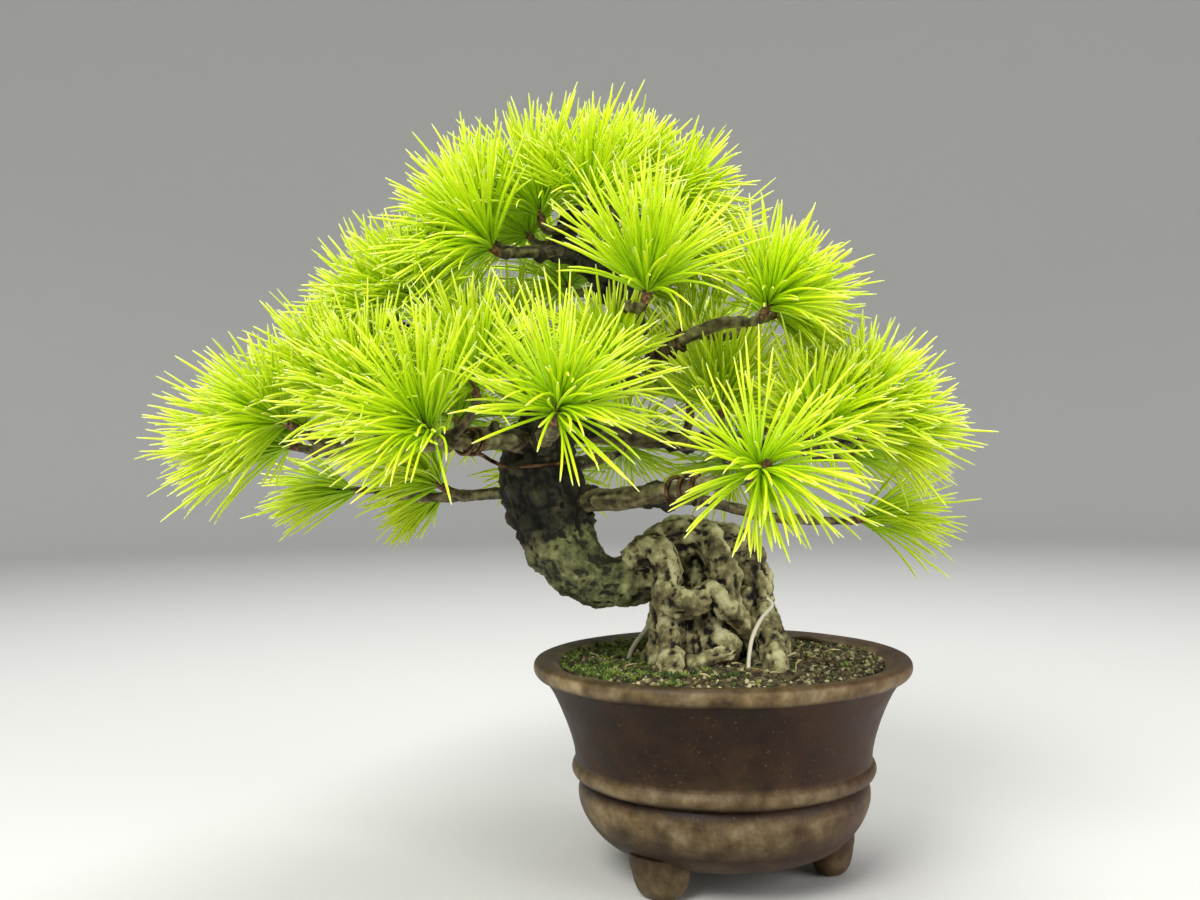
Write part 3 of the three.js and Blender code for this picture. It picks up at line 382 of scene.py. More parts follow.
SPRAYS = [
    spray("left_tip", "firstLeft", 0.99, (-121, -15, 125.5), (-1, -0.1, 0.17), 37, 27),
    spray("left_upper_front", "firstLeft", 0.93, (-119, -27, 131), (-0.88, -0.3, 0.42), 28),
    spray("left_crest", "firstLeft", 0.83, (-107, -21, 139), (-0.35, -0.25, 0.87), 28),
    spray("left_behind", "firstLeft", 0.88, (-120, -3, 131), (-0.9, 0.2, 0.4), 28),
    spray("left_shelf", "middleLeft", 0.99, (-91, -10, 160), (-0.88, -0.2, 0.42), 31),
    spray("left_shelf_top", "middleLeft", 0.86, (-84, -14, 165), (-0.45, -0.3, 0.84), 28),
    spray("left_shelf_front", "firstLeft", 0.68, (-94, -34, 134), (-0.4, -0.45, 0.8), 30),
    spray("front_left_low", "firstLeft", 0.49, (-77, -46, 127), (-0.55, -0.5, 0.6), 35, 64),
    spray("front_left_high", "firstLeft", 0.5, (-68, -32, 139), (-0.15, -0.35, 0.92), 31),
    spray("front_middle", "front", 0.98, (-46, -50, 131), (0.28, -0.46, 0.83), 34, 82),
    spray("front_star", "lowRight", 0.99, (4, -52, 116), (0.3, -0.87, 0.34), 33, 90, 30),
    spray("front_upper", "upperFront", 0.98, (-22, -40, 163), (0.1, -0.25, 0.95), 35),
    spray("front_inner", "upperRight", 0.3, (-30, -16, 144), (-0.25, -0.6, 0.7), 28),
    spray("right_upper_front", "upperRight", 0.97, (11, -27, 160), (0.35, -0.3, 0.85), 28, 66),
    spray("right_upper_side", "upperRight", 0.9, (15, -11, 161), (0.9, -0.15, 0.28), 25),
    spray("right_upper_back", "upperRight", 0.72, (15, 8, 164), (0.6, 0.4, 0.7), 25),
    spray("right_shelf_top", "middleRight", 0.94, (38, -12, 131), (0.5, -0.2, 0.83), 28),
    spray("right_tip", "middleRight", 0.99, (41, -10, 125.5), (1, -0.05, 0.14), 29, 44),
    spray("right_shelf_front", "middleRight", 0.8, (24, -20, 126), (0.35, -0.65, 0.65), 30),
    spray("right_inner", "middleRight", 0.62, (1, -2, 133), (0.1, -0.3, 0.94), 32),
    spray("right_inner_back", "middleRight", 0.45, (-6, 24, 137), (0, 0.2, 0.97), 34),
    spray("right_shelf_back", "middleRight", 0.78, (34, 20, 137), (0.4, 0.3, 0.85), 29),
    spray("right_low_tip", "lowRightFork", 0.99, (42, 8, 101), (1, 0, 0.16), 30, 30, 20),
    spray("right_back_side", "middleRight", 0.85, (42, 16, 121), (0.8, 0.5, 0.3), 28, 50, 25),
    spray("low_left_tip", "lowLeft", 0.99, (-111, 28, 112), (-0.98, 0.1, 0.04), 31, 22, 18),
    spray("low_left_under", "lowLeft", 0.62, (-85, 33, 110), (-0.8, 0.35, -0.3), 26, 28, 18),
    spray("low_left_side", "lowLeft", 0.45, (-82, 6, 113), (-0.7, -0.35, 0.45), 27, 48, 23),
    spray("top_left", "upperLeft", 0.98, (-63, -20, 179.5), (-0.8, -0.3, 0.52), 33),
    spray("top_left_crest", "upperLeft", 0.72, (-67, -9, 187), (-0.4, -0.1, 0.91), 29),
    spray("top_middle", "trunk", 0.93, (-51, 0, 192), (-0.12, -0.12, 0.98), 33),
    spray("top_front", "trunk", 0.96, (-37, -6, 193), (0.15, -0.45, 0.86), 32),
    spray("top_crest", "trunk", 0.99, (-24, 9, 201), (0.12, -0.05, 0.99), 27),
    spray("top_right", "trunk", 0.98, (-14, 7, 196), (0.8, -0.1, 0.55), 26),
    spray("top_back", "trunk", 0.97, (-34, 22, 200), (-0.1, 0.55, 0.82), 29),
    spray("top_back_left", "trunk", 0.9, (-55, 18, 190), (-0.5, 0.45, 0.72), 29),
    spray("top_back_right", "highRight", 0.98, (-8, 25, 184), (0.5, 0.55, 0.62), 31),
    spray("back_crest", "backHigh", 0.98, (-44, 41, 178), (-0.2, 0.75, 0.6), 34),
    spray("back_crest_right", "backHigh", 0.7, (-24, 38, 177), (0.3, 0.75, 0.55), 33),
    spray("back_left_shelf", "middleLeft", 0.6, (-78, 20, 165), (-0.6, 0.45, 0.65), 34),
    spray("back_left_middle", "middleLeft", 0.4, (-64, 34, 156), (-0.25, 0.75, 0.6), 33),
    spray("left_shelf_back", "firstLeft", 0.78, (-105, 8, 139), (-0.55, 0.35, 0.75), 33),
    spray("back_left_tip", "backLeft", 0.99, (-97, 44, 131), (-0.7, 0.5, 0.5), 33),
    spray("back_left", "backLeft", 0.85, (-83, 51, 134), (-0.15, 0.8, 0.55), 33),
    spray("back_left_inner", "backLeft", 0.5, (-58, 47, 134), (0.1, 0.8, 0.6), 33),
    spray("back_low", "backLow", 0.98, (-27, 52, 124), (0.2, 0.9, 0.35), 34),
    spray("back_low_left", "backLow", 0.7, (-48, 48, 117), (-0.35, 0.9, 0.05), 31),
    spray("back_middle", "backUpper", 0.98, (-4, 42, 157), (0.25, 0.75, 0.62), 34),
    spray("back_right", "backRight", 0.99, (19, 40, 129), (0.45, 0.75, 0.45), 33),
    spray("back_right_low", "backRight", 0.7, (8, 44, 119), (0.2, 0.95, 0.05), 31),
]

TWIG_RADIUS = 1.2
TWIG_SWELL = 0.4  # how much thicker a twig is where it leaves its limb
TWIG_MOST = 0.8  # its greatest thickness there, as a share of the limb's
TWIG_STEPS = 16
TWIG_BEND = 0.45  # share of the way from the limb where a twig turns into its shoot's direction


def twig_course(own):
    """The twig leaves its limb and turns into the shoot's own direction."""
    start = LIMBS[own["limb"]].at(own["at"])
    end = own["base"]
    bend = end - own["lean"] * TWIG_BEND * (start.xyz - end).length
    first = min(start.w * TWIG_MOST, TWIG_RADIUS + TWIG_SWELL)
    spots = []
    for i in range(TWIG_STEPS + 1):
        t = i / TWIG_STEPS
        place = (1 - t) ** 2 * start.xyz + 2 * t * (1 - t) * bend + t * t * end
        spots.append(Vector((*place, first + t * (TWIG_RADIUS - first))))
    return Course(spots, smooth=False)


TWIGS = [twig_course(own) for own in SPRAYS]


# Bark materials. look holds three shares, for rough old bark, for lichen and for pale young root.
# height says how far a point stands out of the bark's cracks and hollow how deep it lies between
# the limbs and lumps round it, both from 0 to 1. The finishes darken low and hollow points with
# painted shade

def bark_inputs(tree):
    look = add(tree, "ShaderNodeAttribute", attribute_name="look").node.outputs["Vector"]
    shares = add(tree, "ShaderNodeSeparateXYZ", {0: look}).node.outputs
    height = carried(tree, "height")
    hollow = carried(tree, "hollow")
    place = object_place(tree)
    return shares, height, hollow, place


def root_bark():
    # Weathered pine root and trunk bark: pale, dry ridges over dark cracks, with greenish lichen
    # on the bend and nearly black flakes above it. The cracks are dark partly in the bark's own tone
    # and partly with painted shade, and painted shade darkens the hollows between roots and lumps
    material, tree, shader = new_material("weathered_root_and_trunk_bark", 0.88)
    shares, height, hollow, place = bark_inputs(tree)
    mottle = noise(tree, place, size=2.4, detail=5, Roughness=0.68)
    worn = maths(tree, "MULTIPLY_ADD", mottle, 0.75, -0.12)
    # Low points of the relief darker: partly the bark's own tone, partly painted shade
    shade = maths(tree, "MULTIPLY_ADD", height, 0.45, worn)
    # Painted shade in the hollows between the roots and lumps
    shade = maths(tree, "MULTIPLY_ADD", hollow, -0.7, shade)
    stain = noise(tree, place, size=7, detail=4, Roughness=0.6)
    stain = remap(tree, stain, 0.34, 0.66, -0.18, 0.24)
    shade = maths(tree, "ADD", shade, stain)
    pale = ramp(tree, shade, (0.0, "#15100A"), (0.9, "#D0C9A0"), (0.16, "#2C2415"),
                (0.34, "#4E462D"), (0.52, "#807850"), (0.68, "#B2AC7E"))
    dark = ramp(tree, shade, (0.1, "#0A0805"), (0.95, "#605A3E"), (0.35, "#191509"),
                (0.55, "#2A2618"), (0.78, "#403B28"))
    blotch = noise(tree, place, size=5, detail=5, Roughness=0.7)
    crust = ramp(tree, blotch, (0.34, "#302F1A"), (0.68, "#B9BA84"), (0.45, "#66673F"),
                 (0.56, "#8C8E5A"))
    # Painted shade: the lichen crust turns dark in the cracks and hollows, where the tone runs low
    crack_shade = remap(tree, shade, 0.15, 0.55)
    crust = blend(tree, crack_shade, linear("#2C2A18"), crust)
    mixed = blend(tree, shares["Y"], pale, crust)
    mixed = blend(tree, shares["X"], mixed, dark)
    mixed = blend(tree, shares["Z"], mixed, linear("#D9D2BC"))
    tree.links.new(mixed, shader.inputs["Base Color"])
    crumb = noise(tree, place, size=0.7, detail=4)
    bump(tree, shader, crumb, strength=0.6, distance=0.3)
    return material


def branch_bark():
    # Young pine bark: thin brown scales with grey ridges, a little greener than the old trunk. Its
    # cracks are darker partly with painted shade, and its hollows darker with painted shade
    material, tree, shader = new_material("young_branch_bark", 0.82)
    _, height, hollow, place = bark_inputs(tree)
    scales = noise(tree, place, size=1.8, detail=4, Roughness=0.6)
    worn = maths(tree, "MULTIPLY_ADD", scales, 0.7, -0.35)
    # Low points of the relief darker: partly the bark's own tone, partly painted shade
    shade = maths(tree, "ADD", height, worn)
    # Painted shade in the hollows where twigs and branches meet
    shade = maths(tree, "MULTIPLY_ADD", hollow, -0.4, shade)
    colour = ramp(tree, shade, (0.15, "#1E180E"), (0.95, "#B4AC82"), (0.36, "#473D27"),
                  (0.56, "#6C6341"), (0.76, "#8C845B"))
    tree.links.new(colour, shader.inputs["Base Color"])
    crumb = noise(tree, place, size=0.5, detail=3)
    bump(tree, shader, crumb, strength=0.6, distance=0.25)
    return material


# Tubes along courses, one tree for roots, branches and wires

def course_lines(name, limbs):
    """Lines for a tree to follow; limbs is a list of (points with radius, look at a point)."""
    corners, edges, girths, looks = [], [], [], []
    for spots, look in limbs:
        first = len(corners)
        corners += [to_frame(spot.xyz) for spot in spots]
        edges += [(i, i + 1) for i in range(first, len(corners) - 1)]
        girths += [spot.w * MM for spot in spots]
        looks += [share for spot in spots for share in look(spot)]
    mesh = bpy.data.meshes.new(name)
    mesh.from_pydata(corners, edges, [])
    mesh.attributes.new("girth", "FLOAT", "POINT").data.foreach_set("value", girths)
    mesh.attributes.new("look", "FLOAT_VECTOR", "POINT").data.foreach_set("vector", looks)
    return mesh


def tube_tree():
    tree, given = new_tree("tubes along courses", Sides=int, Material=bpy.types.Material)
    line = add(tree, "GeometryNodeMeshToCurve", {"Mesh": given["Geometry"]})
    length = add(tree, "GeometryNodeSplineParameter").node.outputs["Length"]
    line = stored(tree, line, "along", length)
    ring = add(tree, "GeometryNodeCurvePrimitiveCircle",
               {"Resolution": given["Sides"], "Radius": 1.0})
    position = add(tree, "GeometryNodeInputPosition")
    ring = stored(tree, ring, "round", position, "FLOAT_VECTOR")
    girth = read(tree, "girth")
    tube = add(tree, "GeometryNodeCurveToMesh",
               {"Curve": line, "Profile Curve": ring, "Scale": girth, "Fill Caps": True})
    across = read(tree, "round", "FLOAT_VECTOR")
    along = read(tree, "along")
    across = vectors(tree, "SCALE", across, Scale=girth)
    parts = add(tree, "ShaderNodeSeparateXYZ", {0: across}).node.outputs
    grain = add(tree, "ShaderNodeCombineXYZ", {0: parts["X"], 1: parts["Y"], 2: along})
    tube = stored(tree, tube, "grain", grain, "FLOAT_VECTOR")
    tube = add(tree, "GeometryNodeSetShadeSmooth", {"Geometry": tube})
    end_tree(tree, tube, (given["Material"], None))
    return tree


# Bark relief, pushed out of the fused limbs along the grain that the tubes carry

LOOK_BLUR = 6  # passes that soften the borders between looks
SMOOTH_FACTOR = 0.5  # how far one smoothing pass moves a point towards its neighbours
HOLLOW_BLUR = 18  # passes that give the surface round a point
HOLLOW_DEPTH = 0.3  # a point this deep below it is fully hollow
LUMP_COLOUR = 0.35  # share of the lumps' height that counts in the colour
SUNK_SHARE = 0.55  # share of the greatest fine relief by which the smooth limb is set back first
LICHEN_CALM = 0.45  # share of the ridges and pits that lichen hides


def relief_tree():
    tree, given = new_tree("bark relief", Tubes=bpy.types.Object, Lump=float, Ridge=float,
                           Plate=float, Pit=float, Material=bpy.types.Material)
    tubes = add(tree, "GeometryNodeObjectInfo", {"Object": given["Tubes"]}).node.outputs["Geometry"]
    place = add(tree, "GeometryNodeInputPosition")
    sampled = {}
    for name in ("grain", "look"):
        value = read(tree, name, "FLOAT_VECTOR")
        sampled[name] = add(tree, "GeometryNodeSampleNearestSurface",
                            {"Mesh": tubes, "Value": value, "Sample Position": place},
                            data_type="FLOAT_VECTOR")
    look = add(tree, "GeometryNodeBlurAttribute", {"Value": sampled["look"], "Iterations": LOOK_BLUR},
               data_type="FLOAT_VECTOR")
    wood = given["Geometry"]
    for name, value in (("grain", sampled["grain"]), ("look", look)):
        wood = stored(tree, wood, name, value, "FLOAT_VECTOR")
    grain = read(tree, "grain", "FLOAT_VECTOR")
    look = read(tree, "look", "FLOAT_VECTOR")
    shares = add(tree, "ShaderNodeSeparateXYZ", {0: look}).node.outputs
    calm = maths(tree, "MULTIPLY_ADD", shares["Y"], -LICHEN_CALM, 1.0)

    lumps = noise(tree, place, size=6, detail=3)
    lump = remap(tree, lumps, 0.3, 0.7, 0.0, given["Lump"])
    threads = vectors(tree, "MULTIPLY", grain, (1 / (2.6 * MM), 1 / (2.6 * MM), 1 / (15 * MM)))
    thread = add(tree, "ShaderNodeTexNoise", {"Vector": threads, "Scale": 1, "Detail": 3,
                                              "Distortion": 0.6})
    ridge = remap(tree, thread, 0.38, 0.6, 0.0, given["Ridge"], interpolation_type="SMOOTHSTEP")
    ridge = maths(tree, "MULTIPLY", ridge, calm)
    flakes = vectors(tree, "MULTIPLY", grain, (1 / (4.5 * MM), 1 / (4.5 * MM), 1 / (6.5 * MM)))
    warp = noise(tree, place, size=3, detail=2)
    warp = vectors(tree, "MULTIPLY", warp.node.outputs["Color"], (0.7, 0.7, 0.7))
    flakes = vectors(tree, "ADD", flakes, warp)
    crack = add(tree, "ShaderNodeTexVoronoi", {"Vector": flakes, "Scale": 1},
                feature="DISTANCE_TO_EDGE")
    plate = remap(tree, crack, 0.02, 0.3, 0.0, given["Plate"], interpolation_type="SMOOTHSTEP")
    plate = maths(tree, "MULTIPLY", plate, shares["X"])
    pits = noise(tree, place, size=2.1, detail=3)
    pit = remap(tree, pits, 0.3, 0.65, 0.0, given["Pit"])
    pit = maths(tree, "MULTIPLY", pit, calm)
    total = lump
    for part in (ridge, plate, pit):
        total = maths(tree, "ADD", total, part)

    # Ridges, plates and pits set the colour, and the lumps a share of it: the finishes darken the
    # low parts, partly as painted shade
    fine = maths(tree, "ADD", ridge, pit)
    fine = maths(tree, "ADD", fine, plate)
    small = maths(tree, "MULTIPLY_ADD", lump, LUMP_COLOUR, fine)
    most = maths(tree, "MULTIPLY_ADD", given["Lump"], LUMP_COLOUR, given["Ridge"])
    most = maths(tree, "ADD", most, given["Pit"])
    old = maths(tree, "MULTIPLY_ADD", given["Plate"], shares["X"], most)
    height = maths(tree, "DIVIDE", small, old)
    wood = stored(tree, wood, "height", height)
    back = maths(tree, "MULTIPLY_ADD", old, -SUNK_SHARE, total)
    normal = add(tree, "GeometryNodeInputNormal")
    offset = vectors(tree, "SCALE", normal, Scale=back)
    wood = add(tree, "GeometryNodeSetPosition", {"Geometry": wood, "Offset": offset})
    # How far each point lies below the surface round it, which the finishes darken as painted shade
    round_about = add(tree, "GeometryNodeBlurAttribute", {"Value": place, "Iterations": HOLLOW_BLUR},
                      data_type="FLOAT_VECTOR")
    sunk = vectors(tree, "SUBTRACT", round_about, place)
    sunk = vectors(tree, "DOT_PRODUCT", sunk, normal).node.outputs["Value"]
    hollow = remap(tree, sunk, 0.0, HOLLOW_DEPTH * MM)
    wood = stored(tree, wood, "hollow", hollow)
    wood = add(tree, "GeometryNodeSetShadeSmooth", {"Geometry": wood})
    end_tree(tree, wood, (given["Material"], None))
    return tree


def fused(name, tubes, voxel, smoothing, tree, **values):
    """One skin round overlapping tubes, smoothed, then given its relief."""
    thing = new_object(name, tubes.data.copy())
    skin = thing.modifiers.new("one skin", "REMESH")
    skin.mode = "VOXEL"
    skin.voxel_size = voxel * MM
    calm = thing.modifiers.new("calm", "SMOOTH")
    calm.iterations = smoothing
    calm.factor = SMOOTH_FACTOR
    put_tree(thing, tree, Tubes=tubes, **values)
    settled(thing)
    bpy.data.objects.remove(tubes)
    return thing


OLD_BARK_FROM = 94  # height on the trunk where the smooth bend ends and flaky bark begins
OLD_BARK_FULL = 99
BEND_FROM = -20  # the bend lies left of here
BEND_FADE = 8  # distance over which its lichen sets in
COLLAR_LENGTH = 15
COLLAR_MOST = 0.5  # its greatest length, as a share of the branch's
COLLAR_SWELL = 1.25  # thickness at the trunk, as a share of the branch's
COLLAR_TAPER = 0.5  # how much of that share is gone at the collar's end
TRUNK_SPACING = 1.5  # distances between points along the limbs
BRANCH_SPACING = 1.2
THIN_SPACING = 0.8
WIRE_SPACING = 0.5


def trunk_look(spot):
    old = min(1, max(0, (spot.z - OLD_BARK_FROM) / (OLD_BARK_FULL - OLD_BARK_FROM)))
    lichen = min(1, max(0, (BEND_FROM - spot.x) / BEND_FADE)) * (1 - old)
    return old, lichen, 0


def even_look(old=0, lichen=0, young=0):
    """The same look all along a limb."""
    return lambda spot: (old, lichen, young)


def collar(branch):
    """The swollen foot of a branch, which blends it into the trunk."""
    end = min(COLLAR_MOST, COLLAR_LENGTH / branch.lengths[-1])
    spots = branch.walk(TRUNK_SPACING, 0, end)
    for i, spot in enumerate(spots):
        spot.w *= COLLAR_SWELL - COLLAR_TAPER * i / (len(spots) - 1)
    return spots


TUBES = tube_tree()
RELIEF = relief_tree()
trunk_limbs = [(TRUNK.walk(TRUNK_SPACING), trunk_look)]
trunk_limbs += [(root.walk(TRUNK_SPACING), even_look()) for root in ROOTS]
trunk_limbs += [(collar(branch), even_look(old=1)) for name, branch in BRANCHES.items()
                if name != "knotStub"]
old_bark = root_bark()
trunk = fused("roots_and_trunk", grown("trunk_tubes", TUBES, course_lines("trunk", trunk_limbs),
                                       Sides=20, Material=old_bark),
              voxel=0.58, smoothing=5, tree=RELIEF, Lump=2.2 * MM, Ridge=0.8 * MM,
              Plate=1.0 * MM, Pit=0.7 * MM, Material=old_bark)
finish_piece(trunk, "bark", "tree_wood")

young_bark = branch_bark()
branch_limbs = [(branch.walk(BRANCH_SPACING), even_look(old=0.5)) for branch in BRANCHES.values()]
branch_limbs += [(twig.walk(BRANCH_SPACING), even_look(old=0.3)) for twig in TWIGS]
branches = fused("branches_and_twigs",
                 grown("branch_tubes", TUBES, course_lines("branches", branch_limbs), Sides=12,
                       Material=young_bark),
                 voxel=0.6, smoothing=3, tree=RELIEF, Lump=0.5 * MM, Ridge=0.35 * MM,
                 Plate=0.3 * MM, Pit=0.3 * MM, Material=young_bark)
finish_piece(branches, "bark", "tree_wood")

strays = grown("stray_roots", TUBES,
               course_lines("strays", [(STRAYS[0].walk(THIN_SPACING), even_look(young=1)),
                                       (STRAYS[1].walk(THIN_SPACING), even_look(young=0.4))]),
               Sides=10, Material=old_bark)
finish_piece(strays, "bark", "tree_wood")


# Needles: each spray is a short shoot with bundles of five needles all round it

NEEDLES_PER_BUNDLE = 5
GOLDEN_TURN = math.pi * (3 - math.sqrt(5))
NEEDLE_WIDTH = 0.76  # within what the photograph lets one read
SHOOT_LENGTH = 6
DOWNWARD_SHORTER = 0.35  # the share by which a needle that points straight down is shorter
SAG = 0.2  # of a level needle's length
WAVER = 0.16  # how far a needle's tip strays, as a share of its length
BUNDLE_WAVER = 0.14  # the same for a bundle as a whole
MOST_SAG = 1.5 * SAG
LEAST_SAG = 0.2 * SAG
SLANT_STRAY = 0.16  # radians that a bundle strays towards the shoot or away from it
TURN_STRAY = 0.35  # radians that it strays round the shoot
FAN_SLANT = (0.07, 0.3)  # least and most radians between a needle and its bundle's middle
FAN_STRAY = 0.5  # radians that a needle strays round that middle
LENGTHS = (0.8, 1.04)  # least and greatest length at the shoot's foot, as shares of the reach
RISE_SHARE = 0.8  # share of a needle's height on the shoot that is taken off its length
SHOOT_RADIUS = 0.8
LOWEST_ROOT = 1.2  # height on the shoot where its lowest needles start
NEEDLE_RINGS = 7
NEEDLE_SIDES = 4
TIP_CROWDING = 1.6  # power that draws a needle's rings towards its tip
BEND_POWER = 2.0  # a needle bends most near its tip
BUD_LENGTH = 3.2
STEM_FOOT = 1.5  # how far the stem reaches back into the twig
STEM_RINGS = 14
STEM_SIDES = 8
BUD_RADIUS = 2.1  # the widths below, at shares of the stem, are shares of it
BUD_WIDTHS = [(0, 0.62), (1, 0.12), (0.55, 0.5), (0.72, 0.42), (0.84, 0.78), (0.93, 0.55)]
SEEDS_PER_SPRAY = 100


def needle_skin():
    # Live five-needle pine foliage: waxy, yellow-green, olive at the root, paler at the tip
    material, tree, shader = new_material("waxy_pine_needles", 0.42)
    along = carried(tree, "along")
    tint = carried(tree, "tint")
    fresh = ramp(tree, along, (0.0, "#8E8A20"), (1.0, "#EEF2A0"), (0.06, "#A4CC0C"),
                 (0.3, "#C2E208"), (0.7, "#D8EE10"), (0.93, "#E4F03A"))
    deep = ramp(tree, along, (0.0, "#7C7A20"), (1.0, "#E8F29A"), (0.06, "#96C60C"),
                (0.35, "#B6DE08"), (0.75, "#D0EC10"), (0.93, "#DCF030"))
    colour = blend(tree, tint, fresh, deep)
    tree.links.new(colour, shader.inputs["Base Color"])
    return material


def bud_skin():
    # Pine bud and shoot: red-brown papery scales
    material, tree, shader = new_material("papery_bud_scales", 0.7)
    place = object_place(tree)
    scales = noise(tree, place, size=0.9, detail=3)
    colour = ramp(tree, scales, (0.35, "#2C190D"), (0.68, "#A0744A"), (0.52, "#5F3C22"))
    tree.links.new(colour, shader.inputs["Base Color"])
    return material


def spray_tree(needle, bud):
    tree, given = new_tree("needle spray", Base=tuple, Turn=tuple, Reach=float, Spread=float,
                           Bundles=int, Seed=int)
    turn = add(tree, "FunctionNodeEulerToRotation", {0: given["Turn"]})
    count = maths(tree, "MULTIPLY", given["Bundles"], NEEDLES_PER_BUNDLE)
    points = add(tree, "GeometryNodePoints", {"Count": count})
    index = add(tree, "GeometryNodeInputIndex")
    bundle = maths(tree, "DIVIDE", index, NEEDLES_PER_BUNDLE)
    bundle = maths(tree, "FLOOR", bundle)
    finger = maths(tree, "MODULO", index, NEEDLES_PER_BUNDLE)

    def draw(low, high, salt, each):
        seed = maths(tree, "ADD", given["Seed"], salt)
        return add(tree, "FunctionNodeRandomValue", {2: low, 3: high, 7: each, 8: seed},
                   data_type="FLOAT")

    # Bundles spiral up the shoot, the lowest ones pointing outwards and a little back
    share = maths(tree, "ADD", bundle, 0.5)
    share = maths(tree, "DIVIDE", share, given["Bundles"])
    lowest = maths(tree, "COSINE", given["Spread"])
    room = maths(tree, "SUBTRACT", 1.0, lowest)
    cosine = maths(tree, "MULTIPLY_ADD", share, room, lowest)
    slant = maths(tree, "ARCCOSINE", cosine)
    slant = maths(tree, "ADD", slant, draw(-SLANT_STRAY, SLANT_STRAY, 1, bundle))
    around = maths(tree, "MULTIPLY_ADD", bundle, GOLDEN_TURN,
                   draw(-TURN_STRAY, TURN_STRAY, 2, bundle))
    main = add(tree, "ShaderNodeCombineXYZ", {1: slant, 2: around})
    main = add(tree, "FunctionNodeEulerToRotation", {0: main})
    fan = maths(tree, "MULTIPLY_ADD", finger, math.tau / NEEDLES_PER_BUNDLE,
                draw(-FAN_STRAY, FAN_STRAY, 3, index))
    fan = add(tree, "ShaderNodeCombineXYZ", {1: draw(*FAN_SLANT, 4, index), 2: fan})
    fan = add(tree, "FunctionNodeEulerToRotation", {0: fan})
    aim = add(tree, "FunctionNodeRotateRotation", {"Rotation": main, "Rotate By": fan},
              rotation_space="LOCAL")

    # Each needle's root on the shoot
    rise = remap(tree, share, 0.0, 1.0, LOWEST_ROOT * MM, SHOOT_LENGTH * MM)
    side = add(tree, "ShaderNodeCombineXYZ", {0: SHOOT_RADIUS * MM})
    spin = add(tree, "ShaderNodeCombineXYZ", {2: around})
    spin = add(tree, "FunctionNodeEulerToRotation", {0: spin})
    side = add(tree, "FunctionNodeRotateVector", {"Vector": side, "Rotation": spin})
    up = add(tree, "ShaderNodeCombineXYZ", {2: rise})
    root = vectors(tree, "ADD", side, up)
    points = add(tree, "GeometryNodeSetPosition", {"Geometry": points, "Position": root})

    # Length, and how far the tip bends away from the straight line
    length = maths(tree, "MULTIPLY", given["Reach"], draw(*LENGTHS, 5, index))
    length = maths(tree, "MULTIPLY_ADD", rise, -RISE_SHARE, length)
    ahead = add(tree, "FunctionNodeRotateVector", {"Vector": (0, 0, 1), "Rotation": aim})
    ahead = add(tree, "FunctionNodeRotateVector", {"Vector": ahead, "Rotation": turn})
    climb = add(tree, "ShaderNodeSeparateXYZ", {0: ahead}).node.outputs["Z"]
    down = maths(tree, "MINIMUM", climb, 0.0)
    down = maths(tree, "MULTIPLY_ADD", down, DOWNWARD_SHORTER, 1.0)
    length = maths(tree, "MULTIPLY", length, down)
    level = maths(tree, "MULTIPLY", climb, climb)
    level = maths(tree, "SUBTRACT", 1.0, level)
    sag = maths(tree, "MULTIPLY", level, draw(-MOST_SAG, -LEAST_SAG, 6, bundle))
    sway = maths(tree, "ADD", given["Seed"], 7)
    sway = add(tree, "FunctionNodeRandomValue",
               {0: (-WAVER,) * 3, 1: (WAVER,) * 3, 7: index, 8: sway}, data_type="FLOAT_VECTOR")
    bend = add(tree, "ShaderNodeCombineXYZ", {2: sag})
    bend = vectors(tree, "ADD", bend, sway)
    drift = maths(tree, "ADD", given["Seed"], 11)
    drift = add(tree, "FunctionNodeRandomValue",
                {0: (-BUNDLE_WAVER,) * 3, 1: (BUNDLE_WAVER,) * 3, 7: bundle, 8: drift},
                data_type="FLOAT_VECTOR")
    bend = vectors(tree, "ADD", bend, drift)
    bend = vectors(tree, "SCALE", bend, Scale=length)
    points = stored(tree, points, "bend", bend, "FLOAT_VECTOR")
    tint = maths(tree, "ADD", draw(0.0, 0.6, 8, bundle), draw(-0.1, 0.4, 9, index), use_clamp=True)
    points = stored(tree, points, "tint", tint)

    # One straight needle of unit length, with rings closer together towards its blunt tip
    line = add(tree, "GeometryNodeCurvePrimitiveLine", {"Start": (0, 0, 0), "End": (0, 0, 1)})
    line = add(tree, "GeometryNodeResampleCurve", {"Curve": line, "Count": NEEDLE_RINGS})
    here = add(tree, "GeometryNodeSplineParameter").node.outputs["Factor"]
    left = maths(tree, "SUBTRACT", 1.0, here)
    left = maths(tree, "POWER", left, TIP_CROWDING)
    here = maths(tree, "SUBTRACT", 1.0, left)
    line = stored(tree, line, "along", here)
    along = read(tree, "along")
    stand = add(tree, "ShaderNodeCombineXYZ", {2: along})
    line = add(tree, "GeometryNodeSetPosition", {"Geometry": line, "Position": stand})
    swell = remap(tree, along, 0.0, 0.12, 0.62, 1.0)
    blunt = remap(tree, along, 0.9, 1.0, 1.0, 0.35)
    girth = maths(tree, "MULTIPLY", swell, blunt)
    ring = add(tree, "GeometryNodeCurvePrimitiveCircle",
               {"Resolution": NEEDLE_SIDES, "Radius": NEEDLE_WIDTH / 2 * MM})
    single = add(tree, "GeometryNodeCurveToMesh",
                 {"Curve": line, "Profile Curve": ring, "Scale": girth, "Fill Caps": True})
    stretch = add(tree, "ShaderNodeCombineXYZ", {0: 1.0, 1: 1.0, 2: length})
    needles = add(tree, "GeometryNodeInstanceOnPoints",
                  {"Points": points, "Instance": single, "Rotation": aim, "Scale": stretch})

